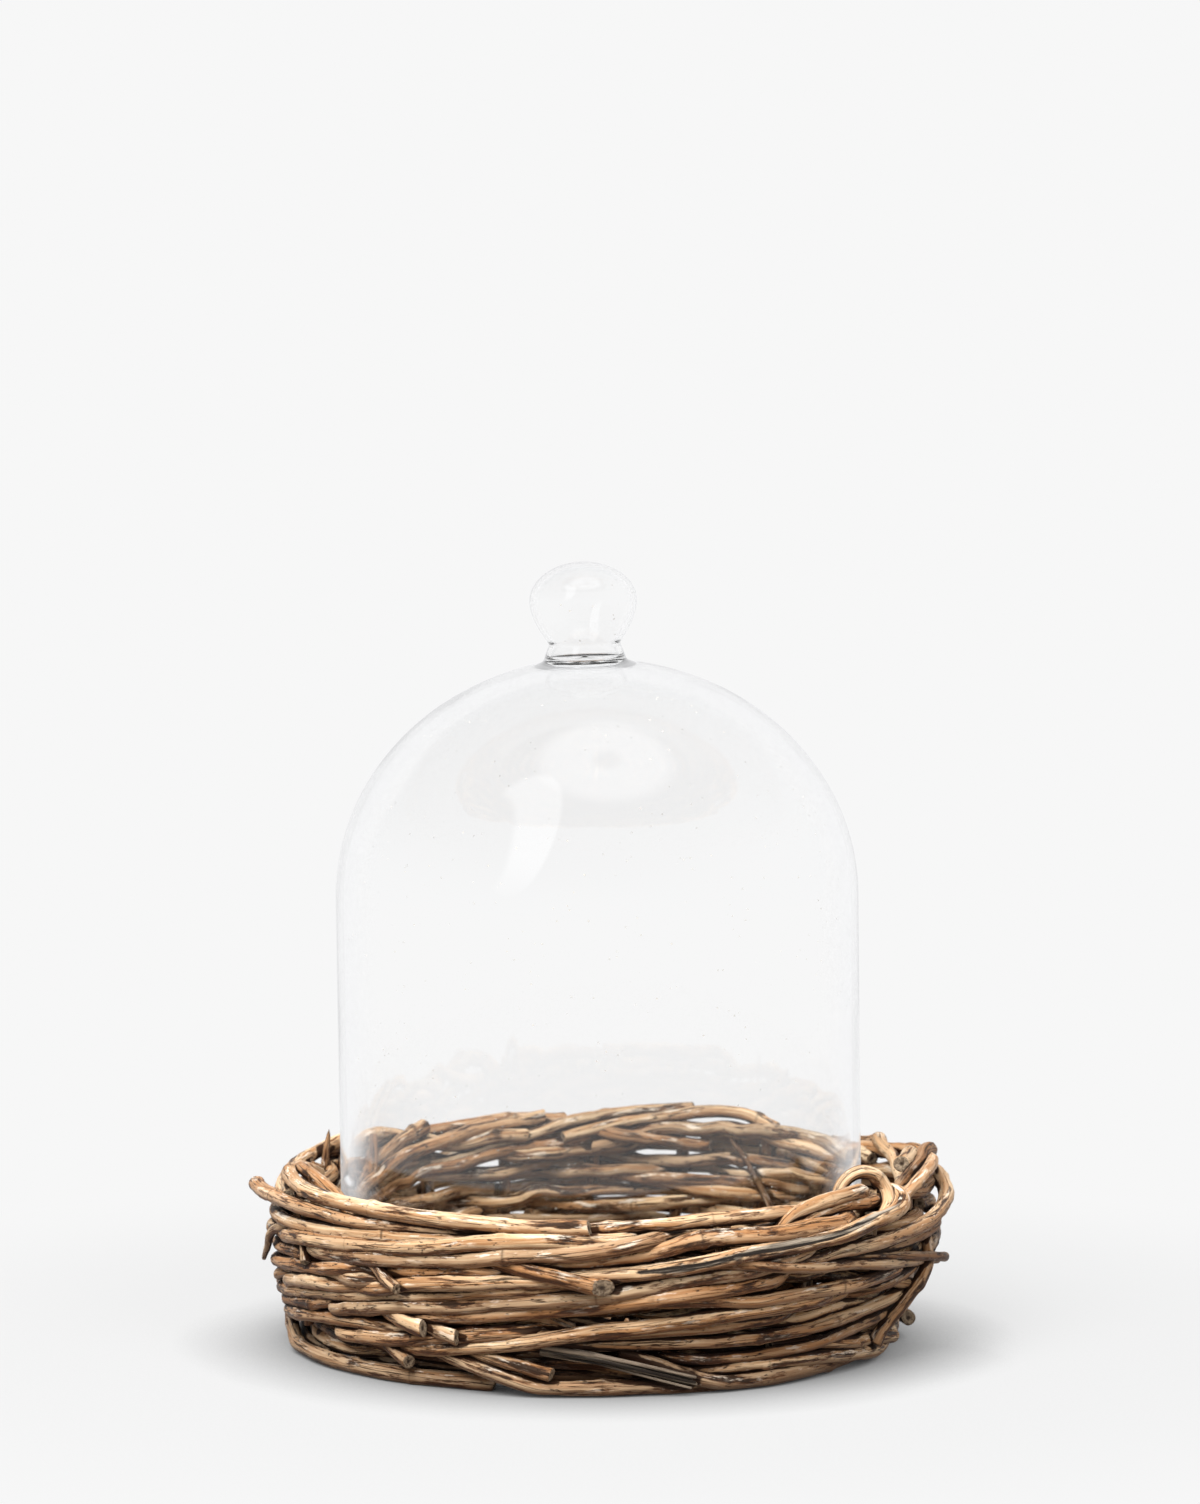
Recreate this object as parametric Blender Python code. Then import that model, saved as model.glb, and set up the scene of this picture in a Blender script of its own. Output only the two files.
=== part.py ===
"""A blown-glass cloche standing in a round willow tray.

The glass is three pieces fused hot: the dome, a collar and a hollow knob. The tray is woven from
separate willow rods: base sticks with two base weavers, side stakes, side weavers, a rolled border
on top and a rolled foot underneath. +Z is up, the tray stands on z = 0 and its front is -Y.
Lengths are metres. The pieces are laid out round the dome's axis, and angles round the tray are
degrees from the front, rising towards +X. The whole is then set down with the middle of its floor
plan at the origin, because the loose ends of the rods reach further on some sides.
"""

import math

import bmesh
import bpy
import numpy as np
from mathutils import Matrix, Vector

MM = 0.001

# Glass dome
DOME_RADIUS = 96.0 * MM
DOME_WALL = 2.8 * MM
DOME_FOOT_Z = 19.3 * MM
SHOULDER_Z = 165.0 * MM
CROWN_Z = 252.0 * MM
DOME_STEPS = 44

# Collar and knob, set off the dome's axis and square to the crown there
KNOB_OFFSET_X = -5.5 * MM
COLLAR_HEIGHT = 4.8 * MM
COLLAR_RADIUS = 14.6 * MM
COLLAR_WAIST = 13.0 * MM
KNOB_RADIUS = 19.7 * MM
KNOB_NECK_RADIUS = 12.4 * MM
KNOB_BELLY_HEIGHT = 16.2 * MM
KNOB_CAP_HEIGHT = 14.2 * MM
KNOB_WALL = 1.8 * MM
KNOB_VENT_RADIUS = 5.0 * MM
KNOB_STEPS = 24
FUSE_GAP = 0.3 * MM

# Willow rod radii
STICK_R = 3.0 * MM
BASE_WEAVER_R = 2.3 * MM
STAKE_R = 2.4 * MM
WEAVER_R = 2.65 * MM
BORDER_R = 2.9 * MM
FOOT_R = 2.9 * MM
ROD_GAP = 0.3 * MM

# Tray wall: radius of the stakes' centres, and the sideways shift of that ring, against height
WALL_HEIGHTS = np.array([0.0, 8.0, 20.0, 35.0, 54.0, 68.0]) * MM
WALL_RADII = np.array([98.0, 101.5, 107.0, 112.0, 114.5, 111.5]) * MM
WALL_SHIFTS = np.array([-4.0, -3.0, -0.5, 2.5, 3.0, 4.0]) * MM
LAYER = 5.9 * MM

STAKE_COUNT = 20
STAKE_SPACING = 360.0 / STAKE_COUNT
FIRST_STAKE_ANGLE = 3.0
STAKE_FOOT_Z = 8.5 * MM
STAKE_TOP_Z = 60.0 * MM

# Where each side weaver's thick end comes out, lowest weaver first
BUTT_ANGLES = (136, 236, 296, 336, 356, 116, 196, 276, 56, 4, 156, 76, 256, 216)
WEAVER_FOOT_Z = 10.8 * MM
WEAVER_PITCH = 3.2 * MM
CLIMB = 3.5 * MM
CLIMB_ANGLE = 76.0
CLIMB_WIDTH = 45.0
WANDER = 0.5 * MM
WEAVER_TURN = 350.0
PAIR_SPREAD = 1.3 * MM
BUTT_PROUD = 4.0 * MM

SPOKE_SPACING = 30.0
STICK_STATIONS = np.array([8.0, 16.0, 26.0, 42.0, 60.0, 80.0, 98.0]) * MM
SLATH_PITCH = 6.9 * MM
SLATH_HALF = 10.0 * MM
BASE_Z = 10.8 * MM
BASE_WEAVE_START = 24.0 * MM
BASE_WEAVE_END = 96.0 * MM
BASE_WEAVE_PITCH = 5.3 * MM

# Rolled rods: (share along the rod, height in mm, offset from the stakes' ring in mm)
BORDER_PROFILE = ((0.0, 55.0, -5.9), (0.2, 59.0, -5.7), (0.42, 63.0, 0.0), (0.62, 60.0, 5.8), (1.0, 56.5, 6.2))
FOOT_PROFILE = ((0.0, 12.0, 9.0), (0.12, 9.0, 10.0), (0.3, 3.0, 9.0), (0.65, 2.8, 6.5), (1.0, 2.8, 2.5))
BORDER_COUNT = 9
BORDER_SPAN = 84.0
FIRST_BORDER_ANGLE = -122.0
FOOT_COUNT = 6
FOOT_SPAN = 88.0
FIRST_FOOT_ANGLE = -92.0

# Settling: rounds in all, the share of them in which rods also spring back, and how strongly
SETTLE_ROUNDS = 900
EASE_SHARE = 0.45
HOME_PULL = 0.02
STIFFNESS = 0.15
REACH = 4.0 * MM


# ---------------------------------------------------------------- willow rods


class Rod:
    """One willow rod: its centreline, its radius, its number of flat sides and how hard it is to shift."""

    def __init__(self, name, points, radius, sides=5, weight=1.0):
        self.name = name
        self.points = np.array(points, float)
        self.radius = radius
        self.sides = sides
        self.weight = weight


def wall_point(angle, z, offset):
    """A point on the wall, offset outwards from the stakes' ring."""
    turn = math.radians(angle)
    radius = np.interp(z, WALL_HEIGHTS, WALL_RADII) + offset
    shift = np.interp(z, WALL_HEIGHTS, WALL_SHIFTS)
    return (shift + radius * math.sin(turn), -radius * math.cos(turn), z)


def smooth_step(t):
    t = min(1.0, max(0.0, t))
    return t * t * (3.0 - 2.0 * t)


def stakes():
    rods = []
    for i in range(STAKE_COUNT):
        angle = FIRST_STAKE_ANGLE + i * STAKE_SPACING
        top = STAKE_TOP_Z - 3.0 * MM * math.cos(2.1 * i)
        heights = np.linspace(STAKE_FOOT_Z, top, 7)
        points = [wall_point(angle, z, 0.0) for z in heights]
        rods.append(Rod(f"side_stake_{i + 1:02d}", points, STAKE_R, weight=6.0))
    return rods


def weave_side(stake, row):
    """+1 where a weaver passes outside a stake and -1 where it passes inside: two out, two in."""
    return 1 if (stake + row // 2 + 2 * (row % 2)) % 4 < 2 else -1


def weaver_height(row, angle):
    """A weaver's height at an angle: level rows that climb towards the right and wander a little."""
    turn = math.radians(angle)
    from_climb = (angle - CLIMB_ANGLE + 180.0) % 360.0 - 180.0
    climb = CLIMB * math.exp(-((from_climb / CLIMB_WIDTH) ** 2))
    wander = WANDER * math.sin(3.0 * turn + 1.7 * row)
    return WEAVER_FOOT_Z + row * WEAVER_PITCH + climb + wander


def side_weavers():
    rods = []
    half = STAKE_SPACING / 2.0
    for row, butt in enumerate(BUTT_ANGLES):
        start = butt - WEAVER_TURN
        count = int(WEAVER_TURN / half)
        points = []
        for step in range(count + 1):
            angle = start + WEAVER_TURN * step / count
            place = (angle - FIRST_STAKE_ANGLE) / STAKE_SPACING
            stake = math.floor(place)
            before = weave_side(stake, row)
            after = weave_side(stake + 1, row)
            part = place - stake
            side = before + (after - before) * smooth_step(part)
            crossing = abs(before - after) / 2.0 * math.sin(math.pi * part)
            spread = PAIR_SPREAD * crossing * (1.0 if row % 2 else -1.0)
            z = weaver_height(row, angle) + spread
            points.append(wall_point(angle, z, side * LAYER))
        out = weaver_height(row, butt)
        points[-2] = wall_point(butt - half, out - 0.5 * MM, LAYER)
        points[-1] = wall_point(butt, out - 2.5 * MM, LAYER + BUTT_PROUD)
        rods.append(Rod(f"side_weaver_{row + 1:02d}", points, WEAVER_R))
    return rods


def rolled_rods(name, starts, span, profile, radius, steps):
    """Rods laid one over another round the tray, each along one (share, height, offset) profile."""
    shares, heights, offsets = (np.array(column) for column in zip(*profile))
    rods = []
    for i, start in enumerate(starts):
        points = []
        for step in range(steps + 1):
            share = step / steps
            z = np.interp(share, shares, heights) * MM
            offset = np.interp(share, shares, offsets) * MM
            points.append(wall_point(start + share * span, z, offset))
        rods.append(Rod(f"{name}_{i + 1}", points, radius, sides=6))
    return rods


def border_rods():
    """The rolled border: each rod rises inside the wall, crosses over the stakes and lies outside."""
    starts = [FIRST_BORDER_ANGLE + i * 360.0 / BORDER_COUNT for i in range(BORDER_COUNT)]
    return rolled_rods("border_rod", starts, BORDER_SPAN, BORDER_PROFILE, BORDER_R, 12)


def foot_rods():
    """The rolled foot the tray stands on: each rod comes down the outside and runs on under the wall."""
    starts = [FIRST_FOOT_ANGLE + i * 360.0 / FOOT_COUNT for i in range(FOOT_COUNT)]
    return rolled_rods("foot_rod", starts, FOOT_SPAN, FOOT_PROFILE, FOOT_R, 14)


def base_sticks():
    """Three sticks over three, fanned into twelve spokes."""
    rods = []
    fan = math.tan(math.radians(SPOKE_SPACING))
    stations = np.concatenate([-STICK_STATIONS[::-1], [0.0], STICK_STATIONS])
    for lane in range(6):
        place = lane % 3 - 1
        reach = math.cos(math.radians(SPOKE_SPACING * place))
        points = []
        for along in stations * reach:
            side = place * (SLATH_PITCH**4 + (along * fan) ** 4) ** 0.25
            layer = STICK_R + ROD_GAP
            layer *= 1.0 - smooth_step((abs(along) - SLATH_HALF) / (1.6 * SLATH_HALF))
            if lane < 3:
                points.append((along, side, BASE_Z - layer))
            else:
                points.append((side, along, BASE_Z + layer))
        rods.append(Rod(f"base_stick_{lane + 1}", points, STICK_R, sides=6, weight=6.0))
    return rods


def base_weavers():
    """Two rods twined round the spokes in a spiral, one over each spoke while the other is under it."""
    rods = []
    half = SPOKE_SPACING / 2.0
    lift = STICK_R + BASE_WEAVER_R + ROD_GAP
    for which, name in enumerate(("base_weaver_a", "base_weaver_b")):
        points = []
        step = 0
        while True:
            angle = step * half
            radius = BASE_WEAVE_START + (2.0 * angle / 360.0 + which) * BASE_WEAVE_PITCH
            if radius > BASE_WEAVE_END:
                break
            z = BASE_Z + lift * math.cos(math.pi * (step / 2.0 + which))
            turn = math.radians(angle)
            points.append((radius * math.cos(turn), radius * math.sin(turn), z))
            step += 1
        rods.append(Rod(name, points, BASE_WEAVER_R))
    return rods


# ------------------------------------------------- settling the weave


def segment_pairs(points, starts, radius, owner):
    """Pairs of rod segments close enough to touch soon, leaving out near neighbours on one rod."""
    middle = (points[starts] + points[starts + 1]) / 2.0
    half = np.linalg.norm(points[starts + 1] - points[starts], axis=1) / 2.0
    firsts, seconds = [], []
    for i in range(len(starts) - 1):
        apart = middle[i + 1 :] - middle[i]
        reach = half[i + 1 :] + half[i] + radius[i + 1 :] + radius[i] + REACH
        close = np.einsum("ij,ij->i", apart, apart) < reach * reach
        same = (owner[i + 1 :] == owner[i]) & (starts[i + 1 :] - starts[i] < 3)
        found = np.nonzero(close & ~same)[0] + i + 1
        firsts.append(np.full(len(found), i))
        seconds.append(found)
    return np.concatenate(firsts), np.concatenate(seconds)


def closest_shares(start_a, along_a, start_b, along_b):
    """How far along each of two segments the closest points lie, from 0 to 1."""
    apart = start_a - start_b
    aa = np.einsum("ij,ij->i", along_a, along_a)
    bb = np.einsum("ij,ij->i", along_b, along_b)
    ab = np.einsum("ij,ij->i", along_a, along_b)
    a_apart = np.einsum("ij,ij->i", along_a, apart)
    b_apart = np.einsum("ij,ij->i", along_b, apart)
    spread = aa * bb - ab * ab
    crossing = spread > 1e-4 * aa * bb
    at_crossing = (ab * b_apart - a_apart * bb) / np.where(crossing, spread, 1.0)
    share_a = np.clip(np.where(crossing, at_crossing, 0.5), 0.0, 1.0)
    share_b = np.clip((ab * share_a + b_apart) / bb, 0.0, 1.0)
    share_a = np.clip((ab * share_b - a_apart) / aa, 0.0, 1.0)
    return share_a[:, None], share_b[:, None]


def keep_off_glass_and_table(points, radius):
    """Pushes points out of the dome's cylinder and up off the table."""
    flat = np.maximum(np.hypot(points[:, 0], points[:, 1]), MM)
    into_side = DOME_RADIUS + radius + 2.0 * ROD_GAP - flat
    into_foot = points[:, 2] + radius + 2.0 * ROD_GAP - DOME_FOOT_Z
    inside = (into_side > 0.0) & (into_foot > 0.0)
    sideways = inside & (into_side < into_foot)
    down = inside & ~sideways
    points[sideways, :2] *= (1.0 + into_side / flat)[sideways, None]
    points[down, 2] -= into_foot[down]
    points[:, 2] = np.maximum(points[:, 2], radius - 0.1 * MM)


def settle(rods):
    """Eases the rods apart until none touch, each keeping near its laid path and as straight."""
    points = np.concatenate([rod.points for rod in rods])
    home = points.copy()
    sizes = [len(rod.points) for rod in rods]
    ends = np.cumsum(sizes)
    thickness = np.repeat([rod.radius for rod in rods], sizes)
    ease = 1.3 / np.repeat([rod.weight for rod in rods], sizes)[:, None]
    is_inner = np.ones(len(points), bool)
    is_inner[ends - 1] = False
    starts = np.nonzero(is_inner)[0]
    is_inner[ends - np.array(sizes)] = False
    inner = np.nonzero(is_inner)[0]
    home_bend = (home[inner - 1] + home[inner + 1]) / 2.0 - home[inner]
    owner = np.repeat(np.arange(len(rods)), sizes)[starts]
    radius = thickness[starts]
    for turn in range(SETTLE_ROUNDS):
        easing = turn < SETTLE_ROUNDS * EASE_SHARE
        if turn % 20 == 0:
            pair_a, pair_b = segment_pairs(points, starts, radius, owner)
            from_a, from_b = starts[pair_a], starts[pair_b]
            reach = radius[pair_a] + radius[pair_b] + ROD_GAP
        if easing:
            bend = (points[inner - 1] + points[inner + 1]) / 2.0 - points[inner]
            points[inner] += STIFFNESS * (bend - home_bend)
            points += HOME_PULL * (home - points)
        along_a = points[from_a + 1] - points[from_a]
        along_b = points[from_b + 1] - points[from_b]
        share_a, share_b = closest_shares(points[from_a], along_a, points[from_b], along_b)
        apart = points[from_b] + along_b * share_b - points[from_a] - along_a * share_a
        distance = np.maximum(np.linalg.norm(apart, axis=1), 1e-6)
        hit = distance < reach
        push = (0.5 * (reach / distance - 1.0))[hit, None] * apart[hit]
        shove = np.zeros_like(points)
        weight = np.zeros((len(points), 1))
        touching = ((from_a[hit], share_a[hit], -push), (from_b[hit], share_b[hit], push))
        for begin, share, move in touching:
            for index, part in ((begin, 1.0 - share), (begin + 1, share)):
                np.add.at(shove, index, part * move)
                np.add.at(weight, index, part * part)
        points += ease * shove / np.maximum(weight, 0.5)
        keep_off_glass_and_table(points, thickness)
        if not easing and (reach - distance).max() < 0.3 * ROD_GAP:
            break
    for rod, stop, size in zip(rods, ends, sizes):
        rod.points = points[stop - size : stop]


# ---------------------------------------------------------------- solids


def add_object(name, verts, faces, material, smooth_angle=None):
    mesh = bpy.data.meshes.new(name)
    mesh.from_pydata([tuple(v) for v in verts], [], faces)
    mesh.materials.append(material)
    build = bmesh.new()
    build.from_mesh(mesh)
    bmesh.ops.recalc_face_normals(build, faces=build.faces)
    build.to_mesh(mesh)
    build.free()
    if smooth_angle:
        mesh.shade_smooth()
        mesh.set_sharp_from_angle(angle=math.radians(smooth_angle))
    made = bpy.data.objects.new(name, mesh)
    bpy.context.scene.collection.objects.link(made)
    return made


def ring_faces(rings, sides, closed_ends=True):
    """Quads between stacked rings of equal size, with a fan-free cap on each end."""
    faces = []
    for ring in range(rings - 1):
        low, high = ring * sides, (ring + 1) * sides
        for k in range(sides):
            nxt = (k + 1) % sides
            faces.append((low + k, low + nxt, high + nxt, high + k))
    if closed_ends:
        faces.append(tuple(reversed(range(sides))))
        faces.append(tuple((rings - 1) * sides + k for k in range(sides)))
    return faces


def rod_object(rod, material):
    """A faceted tube along the rod, with one flat side down; a rod on the table is worn flat there."""
    points = [Vector(p) for p in rod.points]
    verts = []
    for i, point in enumerate(points):
        ahead = points[min(i + 1, len(points) - 1)] - points[max(i - 1, 0)]
        ahead.normalize()
        up = Vector((0.0, 0.0, 1.0))
        if abs(ahead.z) > 0.9:
            up = Vector((point.x, point.y, 0.0)).normalized()
        across = ahead.cross(up).normalized()
        up = across.cross(ahead)
        for k in range(rod.sides):
            turn = 2.0 * math.pi * (k + 0.5) / rod.sides - math.pi / 2.0
            spot = point + rod.radius * (across * math.cos(turn) + up * math.sin(turn))
            if spot.z < 0.9 * MM:
                spot.z = 0.0
            verts.append(spot)
    return add_object(rod.name, verts, ring_faces(len(points), rod.sides), material)


def turned(name, profile, steps, material, place=None):
    """A solid of revolution. The profile is a closed loop of (radius, z); radius 0 lies on the axis."""
    place = place or Matrix.Identity(4)
    verts, rings = [], []
    for radius, z in profile:
        start = len(verts)
        if radius < 1e-9:
            verts.append(place @ Vector((0.0, 0.0, z)))
            rings.append([start] * steps)
        else:
            for k in range(steps):
                turn = 2.0 * math.pi * k / steps
                verts.append(place @ Vector((radius * math.cos(turn), radius * math.sin(turn), z)))
            rings.append([start + k for k in range(steps)])
    faces = []
    for low, high in zip(rings, rings[1:] + rings[:1]):
        for k in range(steps):
            nxt = (k + 1) % steps
            corners = list(dict.fromkeys((low[k], low[nxt], high[nxt], high[k])))
            if len(corners) > 2:
                faces.append(corners)
    return add_object(name, verts, faces, material, smooth_angle=40)


# ---------------------------------------------------------------- glass


def crown_z(x, y, inset=0.0):
    """Height of the crown's surface over (x, y), or of its inner face with inset = the wall."""
    radius = DOME_RADIUS - inset
    height = CROWN_Z - SHOULDER_Z - inset
    return SHOULDER_Z + height * math.sqrt(max(0.0, 1.0 - (x * x + y * y) / radius**2))


def dome_profile():
    """Outside from the foot up to the crown, then back down the inside."""
    lip = 0.8 * MM
    inner = DOME_RADIUS - DOME_WALL
    outside = [(DOME_RADIUS - lip, DOME_FOOT_Z), (DOME_RADIUS, DOME_FOOT_Z + lip)]
    inside = [(inner + lip, DOME_FOOT_Z), (inner, DOME_FOOT_Z + lip)]
    for face, inset in ((outside, 0.0), (inside, DOME_WALL)):
        radius = DOME_RADIUS - inset
        for step in range(0, 9):
            turn = math.pi / 2.0 * step / 9.0
            across = radius * math.cos(turn)
            face.append((across, crown_z(across, 0.0, inset)))
        face.append((0.0, crown_z(0.0, 0.0, inset)))
    return outside + inside[::-1]


def knob_place():
    """The knob's own frame: on the crown at its offset, square to the surface."""
    height = CROWN_Z - SHOULDER_Z
    slope = height / DOME_RADIUS**2 * KNOB_OFFSET_X
    lean = math.atan(slope)
    seat = crown_z(KNOB_OFFSET_X, 0.0) + FUSE_GAP
    return Matrix.Translation((KNOB_OFFSET_X, 0.0, seat)) @ Matrix.Rotation(lean, 4, "Y")


def knob_profile(start):
    """Hollow ball with its neck open at the bottom, drawn from the collar's top at height start."""
    belly = start + KNOB_BELLY_HEIGHT
    outside = []
    for step in range(5):
        share = step / 4.0
        waist = math.cos(math.pi / 2.0 * (1.0 - share)) ** 0.8
        radius = KNOB_NECK_RADIUS + (KNOB_RADIUS - KNOB_NECK_RADIUS) * waist
        outside.append((radius, start + KNOB_BELLY_HEIGHT * share))
    for step in range(1, 6):
        turn = math.pi / 2.0 * step / 5.0
        outside.append((KNOB_RADIUS * math.cos(turn), belly + KNOB_CAP_HEIGHT * math.sin(turn)))
    outside[-1] = (0.0, belly + KNOB_CAP_HEIGHT)
    hollow = KNOB_RADIUS - KNOB_WALL
    inside = [(0.0, belly + KNOB_CAP_HEIGHT - KNOB_WALL)]
    for step in range(4, 0, -1):
        turn = math.pi / 2.0 * step / 5.0
        height = KNOB_CAP_HEIGHT - KNOB_WALL
        inside.append((hollow * math.cos(turn), belly + height * math.sin(turn)))
    inside += [(hollow, belly), (hollow - 1.4 * MM, belly - 5.5 * MM), (hollow - 5.6 * MM, belly - 11.0 * MM)]
    inside += [(KNOB_VENT_RADIUS, start + 3.2 * MM), (KNOB_VENT_RADIUS, start)]
    return outside + inside


def glass_pieces(material):
    dome = turned("glass_dome", dome_profile(), DOME_STEPS, material)
    place = knob_place()
    band = [(0.0, 0.0), (COLLAR_RADIUS, 0.0), (COLLAR_WAIST, COLLAR_HEIGHT), (0.0, COLLAR_HEIGHT)]
    collar = turned("knob_collar", band, KNOB_STEPS, material, place)
    underside = [v for v in collar.data.vertices if (place.inverted() @ v.co).z < 1e-6]
    for vertex in underside:
        vertex.co.z = crown_z(vertex.co.x, vertex.co.y) + FUSE_GAP
    knob = turned("glass_knob", knob_profile(COLLAR_HEIGHT + FUSE_GAP), KNOB_STEPS, material, place)
    return [dome, collar, knob]


# ---------------------------------------------------------------- the whole


def finish_material(name, colour, roughness, clear=0.0):
    material = bpy.data.materials.new(name)
    material.use_nodes = True
    shader = material.node_tree.nodes["Principled BSDF"]
    shader.inputs["Base Color"].default_value = (*colour, 1.0)
    shader.inputs["Roughness"].default_value = roughness
    shader.inputs["Transmission Weight"].default_value = clear
    return material


def set_down(bodies):
    """Hangs each body's pieces on an empty on the dome's axis, placed so the floor plan is centred."""
    spots = np.array([v.co for pieces in bodies.values() for piece in pieces for v in piece.data.vertices])
    middle = (spots.min(axis=0) + spots.max(axis=0)) / 2.0
    for name, pieces in bodies.items():
        holder = bpy.data.objects.new(name, None)
        holder.location = (-middle[0], -middle[1], 0.0)
        bpy.context.scene.collection.objects.link(holder)
        for piece in pieces:
            piece.parent = holder


def main():
    for old in list(bpy.data.objects):
        bpy.data.objects.remove(old)
    glass = glass_pieces(finish_material("clear_glass", (1.0, 1.0, 1.0), 0.02, clear=1.0))
    tan = finish_material("tan_willow", (0.47, 0.26, 0.12), 0.6)
    pale = finish_material("pale_willow", (0.55, 0.33, 0.17), 0.55)
    brown = finish_material("brown_willow", (0.26, 0.15, 0.08), 0.7)
    groups = (
        (brown, base_sticks() + base_weavers() + stakes()),
        (tan, side_weavers()),
        (pale, border_rods() + foot_rods()),
    )
    settle([rod for _, rods in groups for rod in rods])
    willow_pieces = [rod_object(rod, willow) for willow, rods in groups for rod in rods]
    set_down({"basket": willow_pieces, "cloche": glass})


main()
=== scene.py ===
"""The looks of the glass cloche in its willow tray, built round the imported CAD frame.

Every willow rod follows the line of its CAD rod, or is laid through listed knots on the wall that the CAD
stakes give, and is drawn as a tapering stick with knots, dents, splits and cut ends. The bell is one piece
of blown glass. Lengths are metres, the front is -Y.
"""

import math
from dataclasses import dataclass

import bpy
import numpy as np
from mathutils import Matrix, Vector, kdtree, noise


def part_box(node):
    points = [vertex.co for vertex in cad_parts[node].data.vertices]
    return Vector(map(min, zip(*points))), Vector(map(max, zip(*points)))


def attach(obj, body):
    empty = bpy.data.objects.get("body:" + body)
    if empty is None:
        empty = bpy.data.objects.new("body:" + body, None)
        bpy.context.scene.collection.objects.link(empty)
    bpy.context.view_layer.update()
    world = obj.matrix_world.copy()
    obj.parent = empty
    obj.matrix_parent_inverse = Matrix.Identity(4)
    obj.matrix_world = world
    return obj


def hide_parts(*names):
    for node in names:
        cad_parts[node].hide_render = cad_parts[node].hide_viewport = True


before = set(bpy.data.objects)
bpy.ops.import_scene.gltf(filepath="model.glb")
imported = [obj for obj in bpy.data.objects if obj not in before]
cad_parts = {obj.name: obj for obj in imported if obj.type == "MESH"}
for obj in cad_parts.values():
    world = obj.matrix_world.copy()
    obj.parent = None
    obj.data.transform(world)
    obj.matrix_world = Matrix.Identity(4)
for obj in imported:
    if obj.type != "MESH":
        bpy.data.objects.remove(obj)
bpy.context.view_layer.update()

MM = 0.001
TAU = 2.0 * math.pi

DOME_LOW, DOME_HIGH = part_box("glass_dome")
DOME_RADIUS = (DOME_HIGH.x - DOME_LOW.x) / 2.0
AXIS_X = (DOME_LOW.x + DOME_HIGH.x) / 2.0
AXIS_Y = (DOME_LOW.y + DOME_HIGH.y) / 2.0


def eased(share):
    """A share from 0 to 1 that starts and stops softly."""
    return share * share * (3.0 - 2.0 * share)


# ---- shader helpers


class Nodes:
    """A node tree, with short ways to build in it. A colour is three linear values or a socket."""

    def __init__(self, tree):
        self.tree = tree

    def add(self, kind, *inputs, **settings):
        """Adds a node. Inputs are matched in order; None leaves one alone and a socket is linked."""
        node = self.tree.nodes.new("ShaderNode" + kind)
        for key, value in settings.items():
            if key.startswith("in_"):
                self.connect(value, node.inputs[key[3:].replace("_", " ")])
            else:
                setattr(node, key, value)
        for socket, value in zip(node.inputs, inputs):
            if value is not None:
                self.connect(value, socket)
        return node

    def connect(self, value, socket):
        if isinstance(value, bpy.types.NodeSocket):
            self.tree.links.new(value, socket)
        elif socket.type == "RGBA" and len(value) == 3:
            socket.default_value = (*value, 1.0)
        else:
            socket.default_value = value

    def maths(self, operation, *inputs):
        return self.add("Math", *inputs, operation=operation).outputs[0]

    def times(self, first, second):
        return self.maths("MULTIPLY", first, second)

    def total(self, *pairs):
        """The sum of values, each times its weight."""
        result = 0.0
        for value, weight in pairs:
            result = self.maths("MULTIPLY_ADD", value, weight, result)
        return result

    def ramp(self, value, low, high, to_low=0.0, to_high=1.0):
        """value mapped smoothly from low..high to to_low..to_high, and held outside."""
        node = self.add("MapRange", value, low, high, to_low, to_high, interpolation_type="SMOOTHSTEP")
        return node.outputs[0]

    def noise(self, place, waves, detail=3.0, rough=0.55):
        """Noise with the given number of waves to the metre along each axis."""
        scaled = self.add("VectorMath", place, waves, operation="MULTIPLY").outputs[0]
        node = self.add("TexNoise", in_Vector=scaled, in_Scale=1.0, in_Detail=detail, in_Roughness=rough)
        return node.outputs[0]

    def blend(self, share, first, second, how="MIX"):
        node = self.add("Mix", data_type="RGBA", blend_type=how)
        colour_inputs = [socket for socket in node.inputs if socket.type == "RGBA"]
        self.connect(share, node.inputs["Factor"])
        self.connect(first, colour_inputs[0])
        self.connect(second, colour_inputs[1])
        return next(socket for socket in node.outputs if socket.type == "RGBA")

    def bump(self, shader, height, strength, distance):
        bump = self.add("Bump", in_Strength=strength, in_Distance=distance, in_Height=height)
        self.connect(bump.outputs[0], shader.inputs["Normal"])

    def is_ray(self, kind):
        return self.add("LightPath").outputs[f"Is {kind} Ray"]


def new_material(name):
    """A material with a Principled shader: the material, its nodes, the shader and the output."""
    material = bpy.data.materials.new(name)
    material.use_nodes = True
    nodes = Nodes(material.node_tree)
    nodes.tree.nodes.clear()
    shader = nodes.add("BsdfPrincipled")
    return material, nodes, shader, nodes.add("OutputMaterial", shader.outputs[0])


def srgb(r, g, b):
    """A linear colour from 0..255 screen values."""
    channel = [c / 255.0 for c in (r, g, b)]
    return tuple(c / 12.92 if c < 0.04045 else ((c + 0.055) / 1.055) ** 2.4 for c in channel)


def put_in_scene(thing):
    bpy.context.scene.collection.objects.link(thing)
    return thing


def new_piece(name, verts, faces, *materials):
    """A smoothly shaded object made of points and faces."""
    mesh = bpy.data.meshes.new(name)
    mesh.from_pydata(verts, [], faces)
    mesh.polygons.foreach_set("use_smooth", np.ones(len(faces), bool))
    for material in materials:
        mesh.materials.append(material)
    return put_in_scene(bpy.data.objects.new(name, mesh))


# ---- willow materials


STICK_VALUES = ("grain", "tint", "tone", "dirt", "knot", "split")


def stick_values(nodes):
    """Reads the stick's own values: place along the grain, tint, tone, dirt with painted crevice shade,
    knots and splits.
    """
    values = {name: nodes.add("Attribute", attribute_name=name).outputs for name in STICK_VALUES}
    return {name: outputs["Vector" if name == "grain" else "Fac"] for name, outputs in values.items()}


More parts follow.
